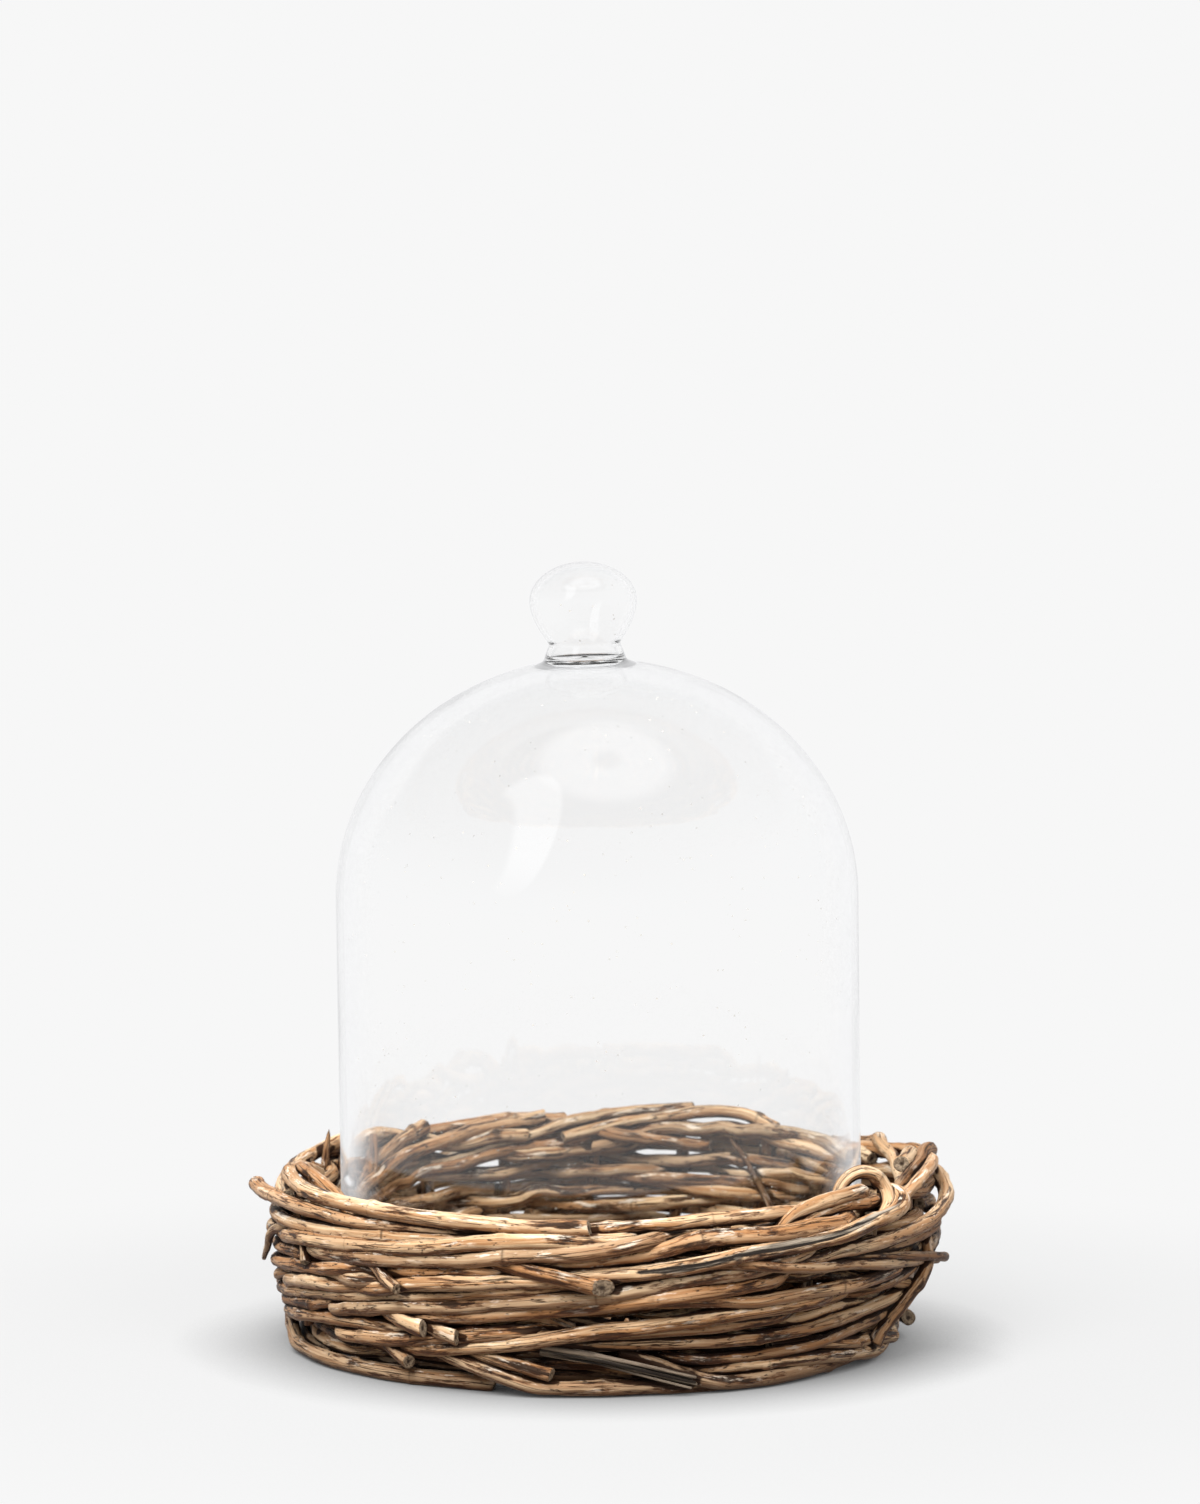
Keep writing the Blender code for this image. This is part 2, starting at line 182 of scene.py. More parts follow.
def willow_material(name, pale, dark, stain_from):
    """Peeled willow: streaks along the grain, stains, cracks, flecks, rubbed tops with a painted highlight,
    painted shade on the undersides, and dirt with painted shade in the crevices. A higher stain_from leaves
    fewer stains."""
    material, nodes, shader, _ = new_material(name)
    ramp, noise_of, times = nodes.ramp, nodes.noise, nodes.times
    at = stick_values(nodes)
    grain = at["grain"]
    up = nodes.add("SeparateXYZ", nodes.add("NewGeometry").outputs["Normal"]).outputs[2]

    streak = noise_of(grain, (16, 520, 520), 4, 0.6)
    fibre = noise_of(grain, (90, 2600, 2600), 2)
    cloud = noise_of(grain, (14, 75, 75), 3)
    patch = noise_of(grain, (42, 300, 300), 5, 0.64)
    line = noise_of(grain, (13, 420, 420), 2)
    fleck = noise_of(grain, (330, 900, 900), 3)
    lace = noise_of(grain, (240, 640, 640), 4, 0.75)
    scuff = noise_of(grain, (75, 380, 380), 4, 0.7)

    stain = ramp(patch, stain_from, stain_from + 0.05)
    stain_core = ramp(patch, stain_from + 0.045, stain_from + 0.085, 0.0, 0.9)
    near_line = nodes.maths("ABSOLUTE", nodes.maths("SUBTRACT", line, 0.5))
    crack = times(ramp(near_line, 0.022, 0.0), ramp(cloud, 0.40, 0.54))
    # Whitish scuffs, partly real wear and partly a painted highlight: they are stronger on the rods' tops,
    # where the light falls.
    scuffs_and_top_highlight = times(ramp(scuff, 0.56, 0.66), ramp(up, -0.3, 0.6, 0.15, 0.85))
    # Dirt with painted shade where rods crowd each other, read from the crowding grid.
    dirt = nodes.maths("ADD", at["dirt"], ramp(patch, 0.3, 0.7, -0.12, 0.12))
    dirt_and_shade_edge = times(ramp(dirt, 0.16, 0.34), ramp(dirt, 0.56, 0.40))
    bark = nodes.blend(ramp(streak, 0.40, 0.6), srgb(36, 29, 24), srgb(176, 162, 144))

    wood = nodes.blend(ramp(streak, 0.38, 0.62), pale, dark)
    for share, colour in (
        (ramp(at["tint"], 0.55, 1.0, 0.0, 0.5), srgb(172, 120, 76)),
        (ramp(at["tint"], 0.40, 0.0, 0.0, 0.5), srgb(150, 128, 104)),
        (ramp(cloud, 0.48, 0.70, 0.0, 0.5), srgb(150, 108, 74)),
        (ramp(cloud, 0.44, 0.28, 0.0, 0.6), srgb(240, 214, 178)),
        (times(stain, 0.8), srgb(96, 58, 34)),
        (stain_core, srgb(40, 28, 20)),
        (times(crack, 0.9), srgb(52, 31, 20)),
        (ramp(fleck, 0.63, 0.70, 0.0, 0.85), srgb(48, 34, 25)),
        (ramp(at["knot"], 0.2, 0.8, 0.0, 0.9), srgb(56, 39, 28)),
        # Painted shade: the undersides of the rods are darker, as they face away from the lights.
        (ramp(up, 0.05, -0.65, 0.0, 0.62), srgb(94, 56, 33)),
        # Whitish scuffs with a painted highlight on the tops.
        (scuffs_and_top_highlight, srgb(240, 224, 204)),
        # Painted shade with dirt: near black in the crevices between rods.
        (ramp(dirt, 0.32, 0.61, 0.0, 0.96), srgb(38, 17, 6)),
        (times(dirt_and_shade_edge, ramp(lace, 0.55, 0.64, 0.0, 0.7)), srgb(196, 180, 164)),
        (ramp(at["split"], 0.3, 0.6), bark),
    ):
        wood = nodes.blend(share, wood, colour)
    shaded = nodes.blend(1.0, wood, srgb(164, 152, 146), "MULTIPLY")
    wood = nodes.blend(ramp(at["tone"], 0.5, 0.0, 0.0, 0.65), wood, shaded)

    nodes.connect(wood, shader.inputs["Base Color"])
    rough = nodes.total((ramp(streak, 0.3, 0.7, 0.42, 0.6), 1.0), (at["dirt"], 0.25))
    nodes.connect(rough, shader.inputs["Roughness"])
    shader.inputs["Specular IOR Level"].default_value = 0.22
    pits = ramp(fleck, 0.62, 0.70, 0.0, 0.6)
    reliefs = (fibre, 0.25), (streak, 0.6), (crack, -1.4), (stain, -0.4), (pits, -1.0), (lace, 0.4)
    nodes.bump(shader, nodes.total(*reliefs), 0.9, 0.55 * MM)
    return material


def cut_end_material():
    """A cut end: pale wood with fine rays, a brown pith and a dirty edge."""
    material, nodes, shader, _ = new_material("willow_cut_end")
    at = stick_values(nodes)
    speck = nodes.noise(at["grain"], (900, 900, 900), 5, 0.7)
    wood = nodes.blend(nodes.ramp(speck, 0.35, 0.65), srgb(86, 70, 56), srgb(168, 148, 124))
    wood = nodes.blend(nodes.ramp(at["knot"], 0.55, 0.95), wood, srgb(50, 37, 28))
    wood = nodes.blend(nodes.ramp(at["knot"], 0.12, 0.0), wood, srgb(58, 42, 30))
    nodes.connect(wood, shader.inputs["Base Color"])
    shader.inputs["Roughness"].default_value = 0.85
    nodes.bump(shader, speck, 0.6, 0.4 * MM)
    return material


# ---- lines of the rods


# Points of a CAD rod that are closer than this are on one ring
RING_REACH = 3.6 * MM
# Steps along a line, for drawing it and for laying it
LINE_STEP = 1.5 * MM
LAY_STEP = 3.5 * MM
WANDER_WAVES = (140 * MM, 85 * MM, 50 * MM)


def ring_middles(mesh):
    """The middles of a CAD rod's rings, and for each one the rings it is joined to."""
    spots = {}
    label_of = [spots.setdefault(tuple(round(c, 6) for c in v.co), len(spots)) for v in mesh.vertices]
    points = [Vector(p) for p in spots]
    tree = point_tree(points)
    ring_of = [-1] * len(points)
    rings = []
    for seed in range(len(points)):
        if ring_of[seed] >= 0:
            continue
        ring_of[seed] = len(rings)
        found = [seed]
        for i in found:
            for _, j, _ in tree.find_range(points[i], RING_REACH):
                if ring_of[j] < 0:
                    ring_of[j] = len(rings)
                    found.append(j)
        rings.append(sum((points[i] for i in found), Vector()) / len(found))
    links = [set() for _ in rings]
    for edge in mesh.edges:
        a, b = (ring_of[label_of[i]] for i in edge.vertices)
        if a != b:
            links[a].add(b)
            links[b].add(a)
    return rings, links


def point_tree(points):
    tree = kdtree.KDTree(len(points))
    for i, point in enumerate(points):
        tree.insert(point, i)
    tree.balance()
    return tree


def centreline(node):
    """The middles of a CAD rod's rings, in order from one end to the other."""
    rings, links = ring_middles(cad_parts[node].data)
    ends = [i for i, link in enumerate(links) if len(link) == 1]
    if len(ends) != 2 or max(len(link) for link in links) > 2:
        raise ValueError(f"{node} is not a chain of rings")
    order, last = [ends[0]], None
    while len(order) < len(rings):
        here = order[-1]
        ahead = [i for i in links[here] if i != last]
        last = here
        order.append(ahead[0])
    return np.array([rings[i] for i in order])


def steps_along(line):
    """How far along the line each of its points is."""
    return np.concatenate([[0.0], np.cumsum(np.linalg.norm(np.diff(line, axis=0), axis=1))])


def fine_line(points, step=LINE_STEP):
    """A smooth curve through the points, sampled evenly."""
    points = np.asarray(points, float)
    padded = np.vstack([2 * points[0] - points[1], points, 2 * points[-1] - points[-2]])
    t = np.linspace(0.0, 1.0, 12, endpoint=False)[:, None]
    pieces = []
    for a, b, c, d in zip(padded[:-3], padded[1:-2], padded[2:-1], padded[3:]):
        bend, twist = 2 * a - 5 * b + 4 * c - d, 3 * b - a - 3 * c + d
        pieces.append(0.5 * (2 * b + (c - a) * t + bend * t**2 + twist * t**3))
    dense = np.vstack(pieces + [points[-1:]])
    lengths = steps_along(dense)
    stations = np.linspace(0.0, lengths[-1], max(6, int(lengths[-1] / step)))
    return np.stack([np.interp(stations, lengths, dense[:, k]) for k in range(3)], axis=1)


def averaged(values, window):
    """Each of three columns averaged over a bell-shaped window of the given number of points."""
    weights = np.hanning(window + 2)[1:-1]
    weights /= weights.sum()
    return np.stack([np.convolve(values[:, k], weights, "valid") for k in range(3)], axis=1)


def rounded(line, reach):
    """A line of LAY_STEP steps with its bends rounded over about the given length, its ends kept."""
    window = max(1, int(reach / LAY_STEP / 2.0))
    padded = np.vstack([2 * line[0] - line[window:0:-1], line, 2 * line[-1] - line[-2 : -2 - window : -1]])
    return averaged(padded, 2 * window + 1)


def slow_wander(count, seed, amount):
    """A slow random drift along a rod, for each of its points."""
    rng = np.random.default_rng(seed)
    u = np.arange(count) * LAY_STEP
    drift = np.zeros(count)
    for wave in WANDER_WAVES:
        size = amount * (wave / WANDER_WAVES[0]) * rng.uniform(0.4, 1.0)
        drift += size * np.sin(TAU * u / wave + rng.uniform(0, TAU))
    return drift


# ---- the tray's wall


def stake_ring():
    """The ring the side stakes stand on, read off the CAD stakes: heights, middles and radii."""
    stakes = [centreline(node) for node in sorted(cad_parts) if node.startswith("side_stake")]
    stakes = [line if line[0, 2] < line[-1, 2] else line[::-1] for line in stakes]
    low = max(line[0, 2] for line in stakes)
    high = min(line[-1, 2] for line in stakes)
    heights = np.linspace(low, high, 9)
    middles, radii = [], []
    for z in heights:
        spots = np.array([[np.interp(z, line[:, 2], line[:, k]) for k in (0, 1)] for line in stakes])
        middles.append(spots.mean(axis=0))
        radii.append(np.hypot(*(spots - spots.mean(axis=0)).T).mean())
    return heights, np.array(middles), np.array(radii)


RING_HEIGHTS, RING_MIDDLES, RING_RADII = stake_ring()


def ring_at(heights):
    """The middle and the radius of the stakes' ring at the given heights."""
    x, y = (np.interp(heights, RING_HEIGHTS, RING_MIDDLES[:, k]) for k in (0, 1))
    return x, y, np.interp(heights, RING_HEIGHTS, RING_RADII)


def on_wall(angles, heights, offsets):
    """Points at angles (degrees from the front, rising to the right), heights and offsets (metres)."""
    x, y, radius = ring_at(heights)
    turn, reach = np.radians(angles), radius + offsets
    return np.stack([x + reach * np.sin(turn), y - reach * np.cos(turn), heights], axis=1)


def from_wall(points):
    """The angles, heights and offsets of points on the wall."""
    x, y, radius = ring_at(points[:, 2])
    dx, dy = points[:, 0] - x, points[:, 1] - y
    return np.degrees(np.arctan2(dx, -dy)), points[:, 2].copy(), np.hypot(dx, dy) - radius


# ---- sticks and how they are laid


WALL, RIM, INNER = "willow_wall", "willow_border", "willow_inner"
# A laid rod's end goes in to the tucked offset over this angle, or its butt comes out this far
TUCK_ANGLE = 9.0
TUCKED = -1.5 * MM
BUTT_OUT = 3.5 * MM
LAID_BEND = 8 * MM
# Its kinks: enough for the longest rod, and how far apart they are in millimetres
KINKS = 24
KINKS_APART = (18, 60)


@dataclass
class Stick:
    """A willow stick to draw: its line from tip to butt, its two end radii, its slot and character.

    split is the stretch, in shares of the length, where the bark shows in a long split. flat below
    1 presses the section, ease says how far it gives way to its neighbours, tone sets how bright it
    is, and cut is the angle at which its butt is cut, where it matters.
    """

    name: str
    line: np.ndarray
    tip: float
    butt: float
    slot: str
    node: str = None
    split: tuple = None
    flat: float = 1.0
    ease: float = 1.0
    tone: float = None
    cut: float = None

    @property
    def seed(self):
        return sum(ord(letter) * (k + 7) for k, letter in enumerate(self.name))


def along_wall(knots):
    """Points every LAY_STEP along (angle, height mm, offset mm) knots, as angles, heights, offsets."""
    knots = np.array(knots, float) * (1.0, MM, MM)
    lengths = steps_along(on_wall(*knots.T))
    stations = np.linspace(0.0, lengths[-1], max(4, int(lengths[-1] / LAY_STEP) + 1))
    return [np.interp(stations, lengths, knots[:, k]) for k in range(3)]


def kinks(count, name, amount):
    """Small bends at odd places along a rod, as shifts in metres for each of its points."""
    rng = np.random.default_rng(sum(map(ord, name)))
    stations = np.cumsum(rng.uniform(*KINKS_APART, KINKS)) * MM / LAY_STEP
    return np.interp(np.arange(count), stations, rng.uniform(-amount, amount, KINKS) * MM)


def laid_rod(name, layer, *knots, butt_out=False, tip=2.4, butt=3.1, **more):
    """A long rod in a layer outside the stakes, through (angle, height) knots. Its ends are tucked in
    behind its neighbours, unless the butt comes out. Sizes are in millimetres."""
    angles, heights, offsets = along_wall([(angle, height, layer) for angle, height in knots])
    from_start = np.abs(angles - angles[0]) / TUCK_ANGLE
    from_stop = np.abs(angles - angles[-1]) / TUCK_ANGLE
    tuck = np.minimum(1.0, from_start if butt_out else np.minimum(from_start, from_stop))
    offsets = TUCKED + (offsets - TUCKED) * eased(tuck)
    if butt_out:
        offsets += BUTT_OUT * np.clip(1.0 - from_stop, 0.0, 1.0) ** 2
    heights += kinks(len(heights), name, 1.0)
    offsets += kinks(len(heights), name + "out", 0.6)
    line = rounded(on_wall(angles, heights, offsets), LAID_BEND)
    return Stick(name, line, tip * MM, butt * MM, WALL, ease=0.35, **more)


def free_rod(name, *knots, slot=RIM, tip=2.4, butt=2.9, bend=9.0, ease=0.25, **more):
    """A rod through (angle, height, offset) knots, its bends rounded over the given millimetres."""
    line = rounded(on_wall(*along_wall(knots)), bend * MM)
    return Stick(name, line, tip * MM, butt * MM, slot, ease=ease, **more)


def front_rods():
    """The long rods that lie outside the front of the wall and climb to the right."""
    return [
        laid_rod("front_rod_01", 9.5, (-102, 38), (-88, 43), (-50, 49.5), (-10, 57), (10, 58)),
        laid_rod("front_rod_02", 8.5, (-106, 44), (-88, 48), (-40, 54.5), (2, 57), tip=2.2, butt=2.8),
        laid_rod("front_rod_03", 10.5, (-69, 42), (-45, 45), (-24, 48.7), (-8, 54), (14, 58)),
        laid_rod("front_rod_04", 9.5, (-104, 28), (-69, 35), (-30, 43), (0, 50.5), (16, 57), (50, 57)),
        laid_rod("front_rod_05", 9.5, (-64, 34), (-41, 36.4), (-29, 37.7), (-20, 42), (-2, 46)),
        laid_rod("front_rod_06", 9.0, (-94, 20), (-65, 27), (-38, 32), (-8, 41), (8, 44), tip=2.2, butt=2.8),
        laid_rod("front_rod_07", 9.5, (-62, 22), (-40, 26.8), (-29, 29.9), (-4, 37), (21, 45), (42, 47.5)),
        laid_rod("front_rod_08", 9.0, (-98, 9), (-61, 18), (-46, 20), (-26, 20), tip=2.2, butt=2.7,
            tone=0.3),
        laid_rod("front_rod_09", 9.5, (-46, 22), (-24, 28), (-4, 33.5), (17, 38.5), (36, 44)),
        laid_rod("front_rod_10", 9.5, (-61, 12.5), (-40, 16.5), (-24, 21), (-6, 24)),
        laid_rod("front_rod_11", 9.5, (-44, 13), (-28, 14.5), (0, 25), (22, 30), (48, 33)),
        laid_rod("front_rod_12", 8.5, (-28, 14), (-8, 19), (20, 18.5), (39, 20), (57, 24), (76, 28), tip=1.9,
            butt=2.5, tone=0.3),
        laid_rod("front_rod_13", 9.0, (2, 37), (17, 35.5), (26, 33.5), (46, 34.5), (68, 39), tip=2.1,
            butt=2.6),
        laid_rod("front_rod_14", 10.5, (8, 49), (30, 45.5), (52, 41), (70, 36.5), (77, 35), butt_out=True,
            tip=2.0, butt=2.1),
        laid_rod("front_rod_15", 9.0, (8, 12), (30, 12.5), (53, 16), (72, 19), (96, 25), tip=1.8, butt=2.3,
            tone=0.15),
        laid_rod("front_rod_16", 8.0, (-18, 21), (0, 22.5), (19, 24), (40, 27), tip=1.9, butt=2.4, tone=0.2),
        laid_rod("front_rod_17", 8.0, (36, 41), (60, 45), (84, 46), (104, 47), tip=1.8, butt=2.3, tone=0.1),
        laid_rod("front_rod_18", 8.5, (46, 29), (70, 34.5), (90, 39), (108, 41), tip=1.8, butt=2.3,
            tone=0.15),
        laid_rod("front_rod_20", 8.5, (-102, 34), (-79, 37.5), (-62, 41.6), (-52, 45), tip=2.0, butt=2.5),
        laid_rod("left_rod_1", 8.5, (-106, 14), (-79, 19.2), (-62, 23.5), (-48, 27), tip=2.0, butt=2.5,
            tone=0.3),
        laid_rod("left_rod_2", 8.5, (-106, 22), (-77, 28), (-60, 33), (-48, 35), tip=2.0, butt=2.5,
            tone=0.3),
        free_rod("right_brace_rod", (76, 47, 7), (72, 39, 10), (69, 30, 11.5), (65, 20, 12), (62, 8, 10),
            slot=WALL, tip=2.2, butt=2.7),
        laid_rod("front_rod_19", 8.0, (58, 12), (78, 15), (104, 17), tip=1.8, butt=2.3, tone=0.2),
    ]


def rim_rods():
    """The rods rolled over the rim at the front and the sides, and the loops at the front right."""
    return [
        free_rod("left_end_rod", (-14, 57, 1), (-27, 57, 5), (-44, 57, 8), (-60, 58, 9.5), (-75, 58, 11),
            (-86, 57, 14), (-93, 57, 17), node="border_rod_1"),
        free_rod("front_rim_left", (-98, 59, -5), (-90, 64, 0), (-80, 65, 5), (-62, 63.5, 7.5),
            (-38, 62.5, 8), (-18, 61.5, 8.5), (-3, 59.5, 9), tip=2.6, butt=3.2, node="border_rod_2"),
        free_rod("front_rim_right", (-14, 56, 2), (-2, 60.5, 5), (8, 62, 6), (18, 63.5, 6), (29, 63.5, 5),
            (38, 61, 1), node="border_rod_3"),
        free_rod("left_inner_rod", (-88, 64, -1), (-80, 67, 0), (-73, 66, -1), (-64, 61, -4), (-56, 54, -6)),
        free_rod("split_rod", (-97, 22, -1), (-86, 25, 8), (-50, 35, 9.5), (-15, 43, 10), (5, 46, 11),
            (25, 51.5, 11.5), (44, 56, 11), (55, 58.5, 10), (60, 60.5, 7), (62, 63, 3), (63, 62, -3),
            tip=2.5, butt=3.2, split=(0.6, 0.95), node="border_rod_4"),
        free_rod("right_wrap_rod", (10, 42, 2), (21, 45, 8), (39, 48, 10), (52, 49.5, 11), (68, 52, 11.5),
            (84, 56, 11), (95, 61, 8), (97, 66, 3), (90, 69, -2), (80, 68, -5), butt=3.1,
            node="border_rod_5"),
        free_rod("loop_near", (29, 54, 7), (30, 59, 6), (34, 63.5, 4), (42, 66, 3), (52, 66.5, 0),
            (58, 62, -5), tip=2.3, butt=2.7, ease=0.06, bend=6.0),
        free_rod("loop_far", (51, 58, -10), (52, 67, -9), (54, 72, -6), (57.5, 72, -2), (60, 66, 1),
            (59, 60.5, 4), (54, 56, 7), tip=2.3, butt=2.7, ease=0.06, bend=6.0),
        free_rod("loop_under", (33, 58, 5), (37, 61, 3), (46, 62.5, 1), (58, 62, -3), tip=2.1, butt=2.6),
        free_rod("right_rim_rod", (62, 60, 3), (74, 66, 5), (87, 67, 5), (100, 66.5, 2), (112, 64, -2),
            (124, 61, -5), tip=2.4, butt=2.9),
        free_rod("right_twist_rod", (70, 60, -4), (80, 66, -1), (92, 68, 3), (104, 64, 8), (114, 57, 9),
            (126, 50, 7), tip=2.3, butt=2.7),
    ]


def back_rods():
    """The rods seen through the glass, inside and on top of the wall's far side."""
    return [
        free_rod("back_rod_01", (-108, 46, -6), (-123, 54, -6), (-139, 59, -6.5), (-152, 63, -5),
            (-167, 66, -2), tip=2.6, butt=3.1),
        free_rod("back_rod_02", (-106, 44, -5), (-122, 55, -5), (-130, 61, -4), (-139, 66, -3), tip=2.5,
            butt=3.2),
        free_rod("back_rod_03", (-140, 50, -6), (-151, 53.5, -6), (-161, 58.5, -6), (-171, 64, -5),
            (-184, 68, -3), (-198, 69.5, -1), tip=2.5, butt=2.7),
        free_rod("back_rod_04", (-170, 58, -7), (-186, 65, -6), (-204, 70.2, -4), (-211, 68.5, -4),
            (-217, 64.5, -4), tip=2.2, butt=2.4, bend=3.0),
        free_rod("back_rod_05", (-176, 55, -6), (-190, 62, -6), (-206, 64.5, -6), (-221, 64, -6),
            (-234, 63, -5), (-246, 60, -4), tip=2.6, butt=2.9),
        free_rod("back_rod_06", (-112, 42, -6), (-126, 46, -6.5), (-145, 50.5, -7), (-161, 54, -6.5),
            (-178, 58, -6), (-196, 60, -4), slot=INNER, tip=2.4, butt=2.8),
        free_rod("back_rod_07", (-174, 45, -5), (-186, 43.5, -6), (-199, 43, -6.5), (-212, 43.5, -6),
            (-228, 46, -4), slot=INNER, tip=2.2, butt=2.6),
        free_rod("back_stray_stick", (-207, 60, -7), (-220, 34, -9), slot=INNER, tip=1.0, butt=1.3),
        free_rod("back_rim_rod", (-126, 58, 3), (-142, 63, 3), (-156, 64.5, 3), (-172, 64, 4), tip=2.3,
            butt=2.8),
    ]


def stub(name, *knots, **more):
    """A short rod whose butt comes out of the wall."""
    return free_rod(name, *knots, slot=WALL, **more)


def loose_ends():
    """Cut butts, stubs and tips that stick out of the weave."""
    return [
        stub("big_butt", (-27, 51, 3), (-17, 47.5, 9), (-8, 44.5, 13), (1, 41.0, 16), tip=2.5, butt=3.1,
            cut=52.0, ease=0.05),
        stub("stub_01", (-48, 29, 3), (-40, 26.5, 8), (-30, 23, 14), tip=2.3, butt=2.9),
        stub("stub_02", (-38, 26, 4), (-30, 22.5, 11), (-24, 20.5, 14), tip=2.3, butt=2.8),
        stub("stub_03", (-48, 17, 2), (-41, 14, 8), (-34, 9.5, 13), tip=2.1, butt=2.6),
        stub("stub_04", (-27, 17, 4), (-19, 14, 10), (-7, 8.5, 14), tip=2.4, butt=2.8),
        stub("stub_05", (-48, 45, 4), (-42, 42, 9), (-35.5, 36.5, 13), tip=1.8, butt=2.4),
        stub("stub_06", (-67, 51, 5), (-63, 46, 10), (-60, 39, 12), tip=1.5, butt=2.0),
        free_rod("stub_07", (-66, 27, 2), (-67, 21, 8), (-68, 13, 9), slot=INNER, tip=1.8, butt=2.0),
        stub("right_thin_stub", (36, 46, 5), (54, 43, 10), (70, 38, 12), (80, 34, 14), tip=1.6, butt=1.7,
            tone=0.0),
        stub("stub_09", (56, 34, 5), (64, 30, 8), (71, 27, 10), tip=1.9, butt=2.2),
        free_rod("hanging_stub", (-70, 50, 6), (-78, 44, 11), (-87, 31, 15), tip=2.4, butt=0.8, bend=6.0),
        free_rod("blade_01", (-112.5, 71, 0), (-111, 60, 0), (-109.5, 40, -1), slot=INNER, tip=0.25,
            butt=3.2, flat=0.45),
        free_rod("blade_02", (-115.5, 62, -2), (-115, 55, -3), (-114, 40, -4), slot=INNER, tip=0.3, butt=2.1,
            flat=0.5),
        free_rod("stake_tip", (-121, 67.5, -5), (-120, 58, -6), (-119, 42, -6), slot=INNER, tip=2.0,
            butt=2.6),
    ]


STRANDS = 7


def frayed_rod():
    """A rod broken into grey strands, low on the front."""
    strands = []
    for k in range(STRANDS):
        turn = TAU * k / STRANDS
        rise, out = 1.7 * math.sin(turn), 1.7 * math.cos(turn)
        spread = 1.0 + 0.5 * math.sin(2.3 * k)
        knots = (
            (-10, 17.0 + rise, 8 + out),
            (0, 14.5 + rise, 11 + out),
            (8, 10.5 + rise * spread, 12.5 + out),
            (18 + 3 * math.sin(3.1 * k), 5.0 + rise * spread, 13 + out * spread),
        )
        size = 0.75 + 0.25 * math.sin(1.9 * k)
        name = f"frayed_strand_{k + 1}"
        strands.append(free_rod(name, *knots, slot=WALL, tip=size, butt=0.5, split=(-1.0, 2.0), ease=0.1))
    return strands


def foot_lays():
    """The kinked rods the tray stands on, at the front, and two dark rods inside behind them: painted shade
    in the foot's gaps.
    """
    return [
        free_rod("foot_left", (-104, 18, 3), (-94, 14, 7), (-86, 7, 8), (-76, 3.4, 9), (-60, 3.2, 8.5),
            (-40, 3.2, 7.5), (-18, 3.2, 5), node="foot_rod_1", bend=7.0),
        free_rod("foot_middle", (-36, 17, 4), (-27.5, 13, 10), (-20.5, 9.5, 12), (-10.5, 3.6, 12.5),
            (-8.5, 3.4, 12), (6, 3.3, 9.5), (24, 3.2, 7), (44, 3.2, 5), tip=2.6, butt=3.1, node="foot_rod_2",
            bend=5.0),
        free_rod("foot_right", (4, 16, 4), (10, 12, 9), (19, 5, 11), (23, 3.3, 10.5), (34, 3.4, 9.5),
            (46, 4.5, 8.5), (60, 5, 7), (76, 3.3, 5), (92, 3.2, 3), tip=2.6, butt=3.0, node="foot_rod_3",
            bend=5.0),
        free_rod("foot_cross", (16, 6, 5), (27, 8.5, 9), (38, 8.5, 10), (54, 6, 9.5), (70, 5, 9), (86, 7, 8),
            (96, 11, 7), tip=2.4, butt=2.7),
        # Painted shade: two dark rods inside, behind the foot, so that its gaps look dark.
        free_rod("foot_inner_low", (-104, 7, -1), (-50, 6, 0), (0, 6, 0), (50, 7, 0), (100, 9, -1),
            slot=INNER, tip=2.5, butt=3.0, tone=0.0),
        free_rod("foot_inner_high", (-96, 12, 1), (-50, 12, 2), (0, 11, 2), (50, 12, 2), (96, 13, 1),
            slot=INNER, tip=2.4, butt=2.9, tone=0.1),
        free_rod("foot_side", (34, 15, 4), (46, 13.5, 9), (60, 9, 10.5), (74, 5.5, 9), tip=2.3, butt=2.7),
    ]


# ---- the rods that follow the CAD


GROUPS = (
    # CAD rods by the start of their names, their slot, and their end radii and wander in millimetres
    ("side_weaver", WALL, 2.4, 2.9, 1.0),
    ("side_stake", INNER, 2.2, 2.6, 0.3),
    ("base_stick", INNER, 2.9, 3.0, 0.0),
    ("base_weaver", INNER, 2.2, 2.4, 0.0),
    ("border_rod", RIM, 2.5, 3.0, 0.5),
    ("foot_rod", RIM, 2.6, 3.0, 0.0),
)
# Laid rods cover the wall out to this angle, and the weavers behind them lie closer in
FRONT_REACH = 96.0
FRONT_FADE = 14.0
COVERED_IN = 0.7
LEVEL_OVER = 46 * MM
END_TUCK = 17 * MM


def rewoven(line, number, wander):
    """A side weaver's line, levelled and set wandering. Its ends go in to the stakes, and where
    laid rods cover the front, it lies closer to the stakes."""
    angles, _, offsets = from_wall(line)
    heights = rounded(line, LEVEL_OVER)[:, 2] + slow_wander(len(line), number, wander)
    offsets += slow_wander(len(line), number + 50, 0.8 * MM)
    cover = np.clip((FRONT_REACH - np.abs(angles)) / FRONT_FADE, 0.0, 1.0)
    offsets = np.where(offsets > 0.0, offsets * (1.0 - COVERED_IN * cover), offsets)
    from_end = np.minimum(np.arange(len(line)), np.arange(len(line))[::-1]) * LAY_STEP
    offsets *= np.clip(from_end / END_TUCK, 0.0, 1.0) ** 0.7
    return on_wall(angles, heights, offsets)


